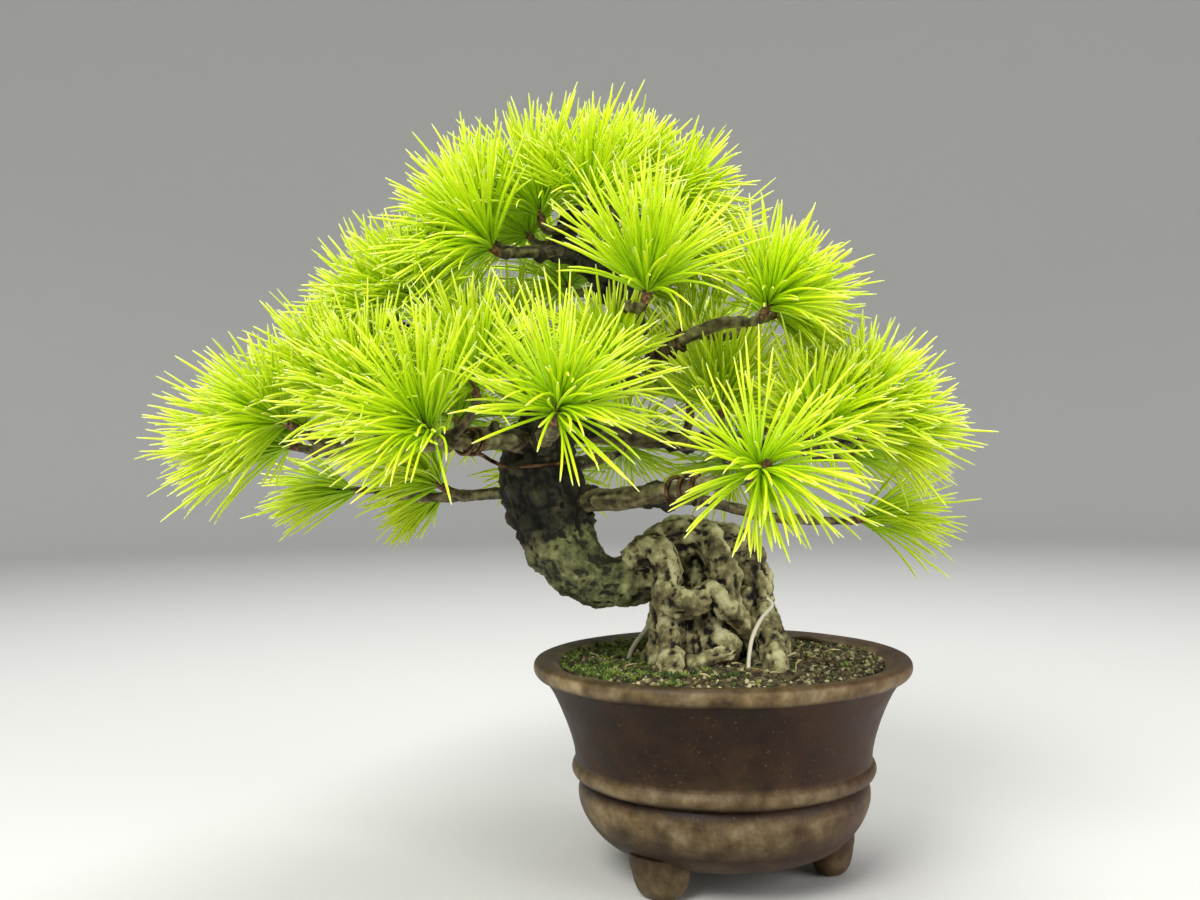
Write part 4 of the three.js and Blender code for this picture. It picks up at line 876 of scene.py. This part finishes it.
    # The shoot, with its scaly bud between the topmost needles
    stem = add(tree, "GeometryNodeCurvePrimitiveLine",
               {"Start": (0, 0, -STEM_FOOT * MM), "End": (0, 0, (SHOOT_LENGTH + BUD_LENGTH) * MM)})
    stem = add(tree, "GeometryNodeResampleCurve", {"Curve": stem, "Count": STEM_RINGS})
    along_stem = add(tree, "GeometryNodeSplineParameter").node.outputs["Factor"]
    taper = add(tree, "ShaderNodeFloatCurve", {"Value": along_stem})
    points_on = taper.node.mapping.curves[0].points
    for i, (at, width) in enumerate(BUD_WIDTHS):
        if i < 2:
            points_on[0 if at == 0 else len(points_on) - 1].location = (at, width)
        else:
            points_on.new(at, width)
    taper.node.mapping.update()
    stem_ring = add(tree, "GeometryNodeCurvePrimitiveCircle",
                    {"Resolution": STEM_SIDES, "Radius": BUD_RADIUS * MM})
    stem = add(tree, "GeometryNodeCurveToMesh",
               {"Curve": stem, "Profile Curve": stem_ring, "Scale": taper, "Fill Caps": True})
    stem = stored(tree, stem, "wood", 1.0)

    # Both are turned to the shoot's own way and set on their twig, then the needles bend
    whole = add(tree, "GeometryNodeJoinGeometry", {0: needles})
    tree.links.new(stem, whole.node.inputs[0])
    placed = add(tree, "GeometryNodeTransform",
                 {"Geometry": whole, "Translation": given["Base"], "Rotation": turn})
    placed = add(tree, "GeometryNodeRealizeInstances", {0: placed})
    tip = maths(tree, "POWER", along, BEND_POWER)
    bent = read(tree, "bend", "FLOAT_VECTOR")
    bent = vectors(tree, "SCALE", bent, Scale=tip)
    placed = add(tree, "GeometryNodeSetPosition", {"Geometry": placed, "Offset": bent})
    placed = add(tree, "GeometryNodeSetShadeSmooth", {"Geometry": placed})
    wood = read(tree, "wood")
    wooden = add(tree, "FunctionNodeCompare", {0: wood, 1: 0.5}, data_type="FLOAT")
    end_tree(tree, placed, (needle, None), (bud, wooden))
    return tree


SPRAY = spray_tree(needle_skin(), bud_skin())
for number, own in enumerate(SPRAYS):
    facing = own["lean"].to_track_quat("Z", "Y").to_euler()
    piece = grown("needles_" + own["name"], SPRAY, Base=tuple(to_frame(own["base"])),
                  Turn=tuple(facing), Reach=own["reach"] * MM, Spread=own["spread"],
                  Bundles=own["bundles"], Seed=SEEDS_PER_SPRAY * number)
    finish_piece(piece, "needles", "spray_" + own["name"])


# Pot: unglazed stoneware, turned on a wheel, with three nub feet and a drain hole. Outlines are
# points (radius, height) joined by smooth curves that meet at the corners

def smooth_line(*points, steps=6):
    course = Course([(radius, 0, height, 0) for radius, height in points])
    return [(spot.x, spot.z) for spot in course.spots[::Course.STEPS // steps]]


POT_OUTLINE = [
    *smooth_line((27, 8), (31, 8.4), (35.6, 10.8), (39.9, 15.6), (42.2, 20.4), (42.7, 24.2),
                 (42, 26.8), (41.4, 27.8)),
    *smooth_line((41.4, 27.8), (42.5, 28.3), (43.9, 29.2), (44.5, 30.8), (44.1, 32.2), (43.4, 33)),
    *smooth_line((43.4, 33), (43.5, 35.6), (44.6, 40.6), (47, 47.4), (49.7, 53.2), (52.1, 56.9)),
    *smooth_line((52.1, 56.9), (54, 57.7), (55.1, 59.2), (55.1, 61.1), (54.1, 62.3), (52, 62.3),
                 (49.4, 61.5), (47.3, 60.2)),
    *smooth_line((47.3, 60.4), (45.9, 56), (42.8, 48), (39.8, 35), (37.8, 20), (35.6, 15.4),
                 (31, 13)),
    (6.6, 13), (6, 12.4), (6, 8.6), (6.6, 8)]
FOOT_OUTLINE = [(0, 0), *smooth_line((3.6, 0), (5.4, 0.4), (7.1, 1.9), (8.4, 4.4), (9.2, 7.4),
                                     (9.7, 10.4), (9.9, 12)), (0, 12)]
FOOT_RING_RADIUS = 31
FOOT_FIRST_TURN = math.radians(110)
FOOT_DEPTH = 0.72  # share of its width
POT_SEGMENTS = 160
FOOT_SEGMENTS = 56
FOOT_COUNT = 3
FOOT_SMOOTH = 0.2  # a foot is smooth up to here, so that it stands flat
FOOT_ROUGH = 2  # and fully rough from here
FOOT_ROUGHNESS = 0.9
AXIS_RADIUS = 0.001  # nearly nothing: the outlines hold their own radius
SHARP_ANGLE = math.radians(38)  # an edge sharper than this stays crisp


def outline_mesh(name, points):
    """A closed outline for a tree to turn round the axis: X is the radius and Y points down."""
    mesh = bpy.data.meshes.new(name)
    count = len(points)
    edges = [(i, (i + 1) % count) for i in range(count)]
    mesh.from_pydata([(radius * MM, -height * MM, 0) for radius, height in points], edges, [])
    return mesh


def turned(tree, given):
    """The outline turned round the pot's axis, which stands at the origin."""
    line = add(tree, "GeometryNodeMeshToCurve", {"Mesh": given["Geometry"]})
    circle = add(tree, "GeometryNodeCurvePrimitiveCircle",
                 {"Resolution": given["Segments"], "Radius": AXIS_RADIUS * MM})
    skin = add(tree, "GeometryNodeCurveToMesh", {"Curve": circle, "Profile Curve": line})
    return add(tree, "GeometryNodeFlipFaces", {"Mesh": skin})


def rough_by(tree, mesh, pattern, height):
    """Moves the surface out and in by half a height, where a pattern from 0 to 1 says so."""
    offset = maths(tree, "SUBTRACT", pattern, 0.5)
    offset = maths(tree, "MULTIPLY", offset, height)
    normal = add(tree, "GeometryNodeInputNormal")
    offset = vectors(tree, "SCALE", normal, Scale=offset)
    return add(tree, "GeometryNodeSetPosition", {"Geometry": mesh, "Offset": offset})


def pot_tree():
    tree, given = new_tree("wheel-turned wall", Segments=int, Ripple=float, Wobble=float,
                           Axis=tuple, Material=bpy.types.Material)
    wall = turned(tree, given)
    place = add(tree, "GeometryNodeInputPosition")
    rings = vectors(tree, "MULTIPLY", place, (4, 4, 1 / (2.6 * MM)))
    rings = add(tree, "ShaderNodeTexNoise", {"Vector": rings, "Scale": 1, "Detail": 2})
    wall = rough_by(tree, wall, rings, given["Ripple"])
    lumps = noise(tree, place, size=38, detail=1)
    wall = rough_by(tree, wall, lumps, given["Wobble"])
    wall = add(tree, "GeometryNodeTransform", {"Geometry": wall, "Translation": given["Axis"]})
    end_tree(tree, wall, (given["Material"], None))
    return tree


def feet_tree():
    tree, given = new_tree("nub feet", Segments=int, Depth=float, Ring=float, Turn=float,
                           Count=int, Axis=tuple, Material=bpy.types.Material)
    foot = turned(tree, given)
    squeeze = add(tree, "ShaderNodeCombineXYZ", {0: given["Depth"], 1: 1.0, 2: 1.0})
    foot = add(tree, "GeometryNodeTransform", {"Geometry": foot, "Scale": squeeze})
    points = add(tree, "GeometryNodePoints", {"Count": given["Count"]})
    index = add(tree, "GeometryNodeInputIndex")
    step = maths(tree, "DIVIDE", math.tau, given["Count"])
    turn = maths(tree, "MULTIPLY_ADD", index, step, given["Turn"])
    spin = add(tree, "ShaderNodeCombineXYZ", {2: turn})
    outward = add(tree, "ShaderNodeCombineXYZ", {0: given["Ring"]})
    spin = add(tree, "FunctionNodeEulerToRotation", {0: spin})
    place = add(tree, "FunctionNodeRotateVector", {"Vector": outward, "Rotation": spin})
    points = add(tree, "GeometryNodeSetPosition", {"Geometry": points, "Position": place})
    feet = add(tree, "GeometryNodeInstanceOnPoints",
               {"Points": points, "Instance": foot, "Rotation": spin})
    feet = add(tree, "GeometryNodeRealizeInstances", {0: feet})
    here = add(tree, "GeometryNodeInputPosition")
    lumps = noise(tree, here, size=5, detail=2)
    height = add(tree, "ShaderNodeSeparateXYZ", {0: here}).node.outputs["Z"]
    above = remap(tree, height, FOOT_SMOOTH * MM, FOOT_ROUGH * MM, 0.0, FOOT_ROUGHNESS * MM)
    feet = rough_by(tree, feet, lumps, above)
    feet = add(tree, "GeometryNodeTransform", {"Geometry": feet, "Translation": given["Axis"]})
    end_tree(tree, feet, (given["Material"], None))
    return tree


def fired_clay():
    # Iron-rich unglazed stoneware: dark brown and satin from handling, paler ochre where it stands
    # out, at the lip, the bead, the bowl and the feet, partly rubbed wear and partly painted
    # highlight on the faces that turn up, with painted shade in the groove and on the lower bowl
    material, tree, shader = new_material("unglazed_brown_stoneware", 0.45)
    shader.inputs["Specular IOR Level"].default_value = 0.2
    place = object_place(tree)
    parts = add(tree, "ShaderNodeSeparateXYZ", {0: place}).node.outputs
    height = remap(tree, parts["Z"], 0.0, 64 * MM)
    # Ochre by height, partly wear and partly painted highlight; painted shade in the groove and lower
    # bowl
    wear_and_painted_light = ramp(tree, height, (0.0, "#D0D0D0"), (1.0, "#707070"), (0.12, "#A0A0A0"),
                  (0.22, "#404040"), (0.31, "#D8D8D8"), (0.38, "#E0E0E0"), (0.42, "#202020"),
                  (0.445, "#181818"), (0.47, "#D0D0D0"), (0.5, "#C0C0C0"), (0.535, "#303030"),
                  (0.62, "#080808"), (0.89, "#080808"), (0.915, "#FFFFFF"), (0.955, "#F0F0F0"),
                  (0.966, "#909090"), (0.973, "#A0A0A0"))
    patches = noise(tree, place, size=14, detail=5, Roughness=0.6)
    patch = remap(tree, patches, 0.3, 0.62, 0.25, 1.0)
    wear_and_painted_light = maths(tree, "MULTIPLY", wear_and_painted_light, patch)
    cloud = noise(tree, place, size=9, detail=6, Roughness=0.65)
    body = ramp(tree, cloud, (0.3, "#1C1108"), (0.75, "#3E2917"), (0.5, "#2B1C0F"))
    ochre = ramp(tree, cloud, (0.3, "#4E3922"), (0.75, "#BBA984"), (0.5, "#826E4B"))
    colour = blend(tree, wear_and_painted_light, body, ochre)
    blush = noise(tree, place, size=30, detail=2)
    side = remap(tree, parts["X"], 45 * MM, 95 * MM, 0.0, 0.6)
    blush = maths(tree, "MULTIPLY", blush, side)
    colour = blend(tree, blush, colour, linear("#54281A"))
    specks = noise(tree, place, size=0.9, detail=2)
    speck = remap(tree, specks, 0.66, 0.8, 0.0, 0.35)
    colour = blend(tree, speck, colour, linear("#8C7A54"))
    tree.links.new(colour, shader.inputs["Base Color"])
    sheen = remap(tree, cloud, 0.3, 0.7, 0.42, 0.62)
    tree.links.new(sheen, shader.inputs["Roughness"])
    grit = noise(tree, place, size=0.6, detail=3)
    bump(tree, shader, grit, strength=0.35, distance=0.1)
    return material


clay = fired_clay()
pot = grown("stoneware_pot", pot_tree(), outline_mesh("pot_outline", POT_OUTLINE),
            Segments=POT_SEGMENTS, Ripple=0.16 * MM, Wobble=0.7 * MM, Axis=tuple(POT_AXIS),
            Material=clay)
feet = grown("feet", feet_tree(), outline_mesh("foot_outline", FOOT_OUTLINE),
             Segments=FOOT_SEGMENTS, Depth=FOOT_DEPTH, Ring=FOOT_RING_RADIUS * MM,
             Turn=FOOT_FIRST_TURN, Count=FOOT_COUNT, Axis=tuple(POT_AXIS), Material=clay)
union = pot.modifiers.new("feet", "BOOLEAN")
union.operation = "UNION"
union.solver = "MANIFOLD"
union.object = feet
settled(pot)
bpy.data.objects.remove(feet)
pot.data.shade_smooth()
pot.data.set_sharp_from_angle(angle=SHARP_ANGLE)
finish_piece(pot, "stoneware", "pot")


# Soil: a mound of granular potting soil, with moss on its left side and straw on top

SOIL_TOP = 60.2
SOIL_RADIUS = 46.9
STRAW_REACH = 39  # no straw's middle lies further out than this
MOUND = 1.2  # how much higher the soil's middle is than its edge
CRUMB = 1.5  # the most that crumbs raise it
SOIL_SEGMENTS = 160
SOIL_RINGS = 62
SOIL_SEED = 11
GRAINS = 3.2e5  # to a square metre, as are the straws and, where moss is thickest, the tufts
TUFTS = 5.5e5
MOSS_NONE_X = 48  # moss thins out from MOSS_FULL_X to here
MOSS_FULL_X = 12
MOSS_LEAST = 0.06
STRAWS = 9e3
BLADES_PER_TUFT = 7
GRAIN_SIZES = (0.3, 0.3, 0.25), (1.15, 1.0, 0.8)  # smallest and largest, as shares of full size
TUFT_SIZES = (0.6, 0.6, 0.6), (1.3, 1.3, 1.2)
STRAW_SIZES = (0.3, 0.5, 0.7), (1.0, 1.1, 1.1)
GRAIN_TURNS = (0, 0, 0), (6, 6, 6)  # least and greatest, in radians
BLADE_TURNS = (-0.9, -0.9, 0), (0.9, 0.9, 6)
TUFT_TURNS = (-0.2, -0.2, 0), (0.2, 0.2, 6)
STRAW_TURNS = (-0.25, -0.3, 0), (0.25, 0.06, 6.2)
SOIL_OUTLINE = [(0, 14.8), (17.5, 14.8), (17.6, 13.5), (31.6, 13.5), (37.4, 20), (39.4, 35),
                (42.4, 48),
                *((SOIL_RADIUS * i / SOIL_RINGS, SOIL_TOP) for i in range(SOIL_RINGS, -1, -1))]


def soil_tree(earth, gravel, moss, straw):
    tree, given = new_tree("potting soil", Segments=int, Mound=float, Crumb=float, Axis=tuple,
                           Grains=float, Tufts=float, Straws=float, Seed=int)
    ground = turned(tree, given)
    place = add(tree, "GeometryNodeInputPosition")
    parts = add(tree, "ShaderNodeSeparateXYZ", {0: place}).node.outputs
    flat = add(tree, "ShaderNodeCombineXYZ", {0: parts["X"], 1: parts["Y"]})
    reach = vectors(tree, "LENGTH", flat).node.outputs["Value"]
    rise = maths(tree, "MULTIPLY", reach, 1 / (SOIL_RADIUS * MM))
    rise = maths(tree, "MULTIPLY", rise, rise)
    rise = maths(tree, "SUBTRACT", 1.0, rise)
    rise = maths(tree, "MULTIPLY", rise, given["Mound"])
    crumbs = noise(tree, place, size=5, detail=6, Roughness=0.62)
    rise = maths(tree, "MULTIPLY_ADD", crumbs, given["Crumb"], rise)
    offset = add(tree, "ShaderNodeCombineXYZ", {2: rise})
    top = add(tree, "FunctionNodeCompare", {0: parts["Z"], 1: (SOIL_TOP - 0.1) * MM},
              data_type="FLOAT")
    ground = add(tree, "GeometryNodeSetPosition",
                 {"Geometry": ground, "Selection": top, "Offset": offset})
    ground = add(tree, "GeometryNodeTransform",
                 {"Geometry": ground, "Translation": given["Axis"]})
    ground = add(tree, "GeometryNodeSetShadeSmooth", {"Geometry": ground})
    ground = add(tree, "GeometryNodeSetMaterial", {"Geometry": ground, "Material": earth})
    up = add(tree, "GeometryNodeInputNormal")
    up = add(tree, "ShaderNodeSeparateXYZ", {0: up}).node.outputs["Z"]
    facing_up = add(tree, "FunctionNodeCompare", {0: up, 1: 0.3}, data_type="FLOAT")
    left = remap(tree, parts["X"], MOSS_NONE_X * MM, MOSS_FULL_X * MM)
    left = maths(tree, "MAXIMUM", left, MOSS_LEAST)
    damp = noise(tree, place, size=9, detail=3)
    damp = remap(tree, damp, 0.42, 0.6)
    mossy = maths(tree, "MULTIPLY", damp, left)
    mossy = maths(tree, "MULTIPLY", mossy, given["Tufts"])

    def draw(low, high, salt):
        seed = maths(tree, "ADD", given["Seed"], salt)
        if isinstance(low, tuple):
            return add(tree, "FunctionNodeRandomValue", {0: low, 1: high, 8: seed},
                       data_type="FLOAT_VECTOR")
        return add(tree, "FunctionNodeRandomValue", {2: low, 3: high, 8: seed}, data_type="FLOAT")

    def strewn(shape, density, salt, turn, size, finish):
        seed = maths(tree, "ADD", given["Seed"], salt)
        spots = add(tree, "GeometryNodeDistributePointsOnFaces",
                    {"Mesh": ground, "Selection": facing_up, "Density": density, "Seed": seed})
        copies = add(tree, "GeometryNodeInstanceOnPoints",
                     {"Points": spots, "Instance": shape, "Rotation": turn, "Scale": size})
        copies = stored(tree, copies, "tint", draw(0.0, 1.0, salt + 1), domain="INSTANCE")
        copies = add(tree, "GeometryNodeRealizeInstances", {0: copies})
        return add(tree, "GeometryNodeSetMaterial", {"Geometry": copies, "Material": finish})

    grain = add(tree, "GeometryNodeMeshIcoSphere", {"Radius": 1 * MM, "Subdivisions": 1})
    grains = strewn(grain, given["Grains"], 10, draw(*GRAIN_TURNS, 12), draw(*GRAIN_SIZES, 13),
                    gravel)
    blade = add(tree, "GeometryNodeMeshCone",
                {"Vertices": 3, "Radius Top": 0.05 * MM, "Radius Bottom": 0.26 * MM,
                 "Depth": 1.7 * MM})
    sprout = add(tree, "GeometryNodePoints", {"Count": BLADES_PER_TUFT})
    blades = add(tree, "GeometryNodeInstanceOnPoints",
                 {"Points": sprout, "Instance": blade, "Rotation": draw(*BLADE_TURNS, 20)})
    tufts = strewn(blades, mossy, 21, draw(*TUFT_TURNS, 23), draw(*TUFT_SIZES, 24), moss)
    stalk = add(tree, "GeometryNodeCurveQuadraticBezier",
                {"Resolution": 6, "Start": (-5 * MM, 0, 0.3 * MM), "Middle": (0, 1.6 * MM, 1.4 * MM),
                 "End": (5 * MM, 0, 0.7 * MM)})
    ring = add(tree, "GeometryNodeCurvePrimitiveCircle", {"Resolution": 5, "Radius": 0.28 * MM})
    stalk = add(tree, "GeometryNodeCurveToMesh",
                {"Curve": stalk, "Profile Curve": ring, "Fill Caps": True})
    inward = vectors(tree, "SUBTRACT", place, given["Axis"])
    inward = vectors(tree, "MULTIPLY", inward, (1, 1, 0))
    inward = vectors(tree, "LENGTH", inward).node.outputs["Value"]
    inward = add(tree, "FunctionNodeCompare", {0: inward, 1: STRAW_REACH * MM}, data_type="FLOAT",
                 operation="LESS_THAN")
    straws = maths(tree, "MULTIPLY", given["Straws"], inward)
    stalks = strewn(stalk, straws, 30, draw(*STRAW_TURNS, 32), draw(*STRAW_SIZES, 33),
                    straw)
    whole = add(tree, "GeometryNodeJoinGeometry", {0: ground})
    for cover in (grains, tufts, stalks):
        tree.links.new(cover, whole.node.inputs[0])
    end_tree(tree, whole)
    return tree


def strewn_material(name, roughness, *stops):
    """A finish whose colour goes from copy to copy, with a fine mottle on top."""
    material, tree, shader = new_material(name, roughness)
    tint = carried(tree, "tint")
    place = object_place(tree)
    mottle = noise(tree, place, size=1.2, detail=3)
    shade = maths(tree, "MULTIPLY_ADD", mottle, 0.6, -0.3)
    shade = maths(tree, "ADD", shade, tint)
    colour = ramp(tree, shade, *stops)
    tree.links.new(colour, shader.inputs["Base Color"])
    bump(tree, shader, mottle, strength=0.5, distance=0.2)
    return material


def earth_material():
    # Damp granular potting soil: dark brown crumbs with pale dry ones among them
    material, tree, shader = new_material("damp_granular_soil", 0.95)
    place = object_place(tree)
    crumbs = noise(tree, place, size=1.6, detail=6, Roughness=0.7)
    colour = ramp(tree, crumbs, (0.36, "#181209"), (0.68, "#988C60"), (0.48, "#3E331D"),
                  (0.57, "#645836"))
    tree.links.new(colour, shader.inputs["Base Color"])
    bump(tree, shader, crumbs, strength=0.8, distance=0.6)
    return material


straw_skin = strewn_material("dry_straw", 0.7, (0.05, "#4E3C20"), (0.95, "#D8CB98"), (0.4, "#8A744A"),
                             (0.7, "#B5A270"))
SOIL = soil_tree(
    earth_material(),
    strewn_material("gravel_grains", 0.9, (0.05, "#221B0E"), (0.95, "#B8AE84"), (0.35, "#4A3F26"),
                    (0.62, "#706444"), (0.82, "#948A60")),
    strewn_material("live_moss", 0.8, (0.05, "#25330F"), (0.95, "#97A64A"), (0.45, "#48601D"),
                    (0.7, "#6B8230")),
    straw_skin)
soil = grown("soil_bed", SOIL, outline_mesh("soil_outline", SOIL_OUTLINE),
             Segments=SOIL_SEGMENTS, Mound=MOUND * MM, Crumb=CRUMB * MM, Axis=tuple(POT_AXIS),
             Grains=GRAINS, Tufts=TUFTS, Straws=STRAWS, Seed=SOIL_SEED)
finish_piece(soil, "soil", "soil")

# Dry stalks and a twig that lie on the soil: points (x, y, height over the soil) and a radius
FALLEN = [
    ([(-11.5, -43, 0.4), (-8.5, -40, 0.9), (-5.8, -36, 0.5)], 0.3),
    ([(13.3, -41, 0.4), (16.5, -36, 1), (20.2, -30, 0.5)], 0.3),
    ([(21.7, -12, -0.8), (21.9, -12.2, 2), (22, -12.4, 4.6)], 0.3),
    ([(-27, -19, 0.5), (-24, -22, 1.1), (-19, -23, 0.4)], 0.28),
    ([(27, 33, 0.6), (31, 29, 1.3), (36.5, 21, 0.5)], 0.8),
]


def over_soil(x, y, lift, radius):
    share = (x * x + y * y) / SOIL_RADIUS ** 2
    return x, y, SOIL_TOP + MOUND * (1 - share) + CRUMB / 2 + lift, radius


fallen_courses = [Course([over_soil(*spot, radius) for spot in spots]) for spots, radius in FALLEN]
fallen_limbs = [(course.walk(THIN_SPACING), even_look(young=1)) for course in fallen_courses]
fallen = grown("fallen_stalks", TUBES, course_lines("fallen", fallen_limbs), Sides=7,
               Material=straw_skin)
finish_piece(fallen, "soil")


# Training wires: brown aluminium wound round three branches, starting on the underside

WIRE_RADIUS = 0.6
WIRE_CLEAR = 0.35
WIRE_POINTS_PER_TURN = 14
CROSSING = (-52.7, 0, 120)  # the trunk's middle where the first branch's wire crosses it
CROSSING_RADIUS = 11.6  # the trunk's radius there
CROSSING_DEGREES = range(-40, -131, -18)  # the wire's points round the trunk
CROSSING_CLIMB = 60  # degrees round the trunk to a millimetre of climb
CROSSING_END = (-65.5, -13.5, 120.6)


def wound_round(branch, start, end, turns):
    count = round(turns * WIRE_POINTS_PER_TURN)
    spots = []
    for i in range(count + 1):
        share = start + (end - start) * i / count
        along = branch.direction(share)
        side = along.cross(Vector((0, 0, 1))).normalized()
        down = along.cross(side).normalized()
        angle = math.tau * i / WIRE_POINTS_PER_TURN
        middle = branch.at(share)
        reach = middle.w + WIRE_RADIUS + WIRE_CLEAR
        place = middle.xyz + reach * (math.cos(angle) * down + math.sin(angle) * side)
        spots.append((*place, WIRE_RADIUS))
    return spots


def across_trunk():
    """The first left branch's wire starts with a cut end in front of the trunk."""
    reach = CROSSING_RADIUS + WIRE_RADIUS + WIRE_CLEAR
    x, y, height = CROSSING
    spots = []
    for degrees in CROSSING_DEGREES:
        turn = math.radians(degrees)
        climb = (degrees - CROSSING_DEGREES.start) / CROSSING_CLIMB
        spots.append((x + reach * math.cos(turn), y + reach * math.sin(turn), height + climb,
                      WIRE_RADIUS))
    return [*spots, (*CROSSING_END, WIRE_RADIUS)]


def wire_metal():
    # Anodised aluminium training wire: dark copper brown, dulled by weather
    material, tree, shader = new_material("anodised_aluminium_wire", 0.5, metallic=1.0)
    place = object_place(tree)
    dull = noise(tree, place, size=2, detail=3)
    colour = ramp(tree, dull, (0.35, "#3C2A1E"), (0.7, "#8A6A50"))
    tree.links.new(colour, shader.inputs["Base Color"])
    return material


wire_finish = wire_metal()
WIRES = {
    "first_left": [*across_trunk(),
                   *wound_round(BRANCHES["firstLeft"], start=0.335, end=0.43, turns=2.5)],
    "low_right": wound_round(BRANCHES["lowRight"], start=0.6, end=0.76, turns=2.5),
    "upper_right": wound_round(BRANCHES["upperRight"], start=0.42, end=0.66, turns=3.5),
}
for name, spots in WIRES.items():
    line = course_lines(name, [(Course(spots).walk(WIRE_SPACING), even_look())])
    wire = grown("training_wire_" + name, TUBES, line, Sides=10, Material=wire_finish)
    finish_piece(wire, "wire", "wire_" + name)


def net_plastic():
    # Moulded black polyethylene net, dull, which lies over the drain hole under the soil
    material, tree, shader = new_material("moulded_polyethylene_net", 0.6)
    place = object_place(tree)
    dust = noise(tree, place, size=3, detail=3)
    colour = ramp(tree, dust, (0.4, "#1C1C1C"), (0.7, "#4A4236"))
    tree.links.new(colour, shader.inputs["Base Color"])
    return material


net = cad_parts["drainage_net"]
net.data.materials.clear()
net.data.materials.append(net_plastic())


# Stage: a pale seamless sweep all round and soft studio light

def studio_sweep():
    material, _, shader = new_material("pale_studio_floor", 0.9)
    shader.inputs["Base Color"].default_value = linear("#C8C7C3")
    flat, curve, wall = 1.5, 0.6, 2.2
    parts = 10
    bends = [math.radians(90 * i / parts) for i in range(parts + 1)]
    profile = [(0.0, 0.0), *((flat + curve * math.sin(a), curve * (1 - math.cos(a))) for a in bends),
               (flat + curve, wall)]
    sides = 96
    turns = [math.tau * j / sides for j in range(sides)]
    corners = [(r * math.cos(turn), r * math.sin(turn), z) for r, z in profile[1:]
               for turn in turns]
    faces = [(i * sides + j, (i + 1) * sides + j, (i + 1) * sides + (j + 1) % sides,
              i * sides + (j + 1) % sides) for i in range(len(profile) - 2) for j in range(sides)]
    mesh = bpy.data.meshes.new("floor")
    mesh.from_pydata(corners, [], [tuple(range(sides)), *faces])
    mesh.shade_smooth()
    mesh.materials.append(material)
    new_object("floor", mesh)


def soft_light(name, place, target, size, watts):
    data = bpy.data.lights.new(name, "AREA")
    data.size = size
    data.energy = watts
    lamp = bpy.data.objects.new(name, data)
    lamp.location = place
    lamp.rotation_euler = (Vector(target) - Vector(place)).to_track_quat("-Z", "Y").to_euler()
    bpy.context.collection.objects.link(lamp)


studio_sweep()
MIDDLE = (0, 0, 0.12)
SKY_STRENGTH = 0.55
soft_light("key", (-0.45, -0.75, 0.95), MIDDLE, size=0.6, watts=17)
soft_light("fill", (0.9, -0.6, 0.45), MIDDLE, size=0.7, watts=6)
soft_light("top", (0.1, 0.35, 1.1), MIDDLE, size=0.7, watts=9)
world = bpy.data.worlds.new("studio")
bpy.context.scene.world = world
world.use_nodes = True
world.node_tree.nodes["Background"].inputs["Color"].default_value = linear("#DDE2EA")
world.node_tree.nodes["Background"].inputs["Strength"].default_value = SKY_STRENGTH
bpy.context.scene.view_settings.view_transform = "Standard"
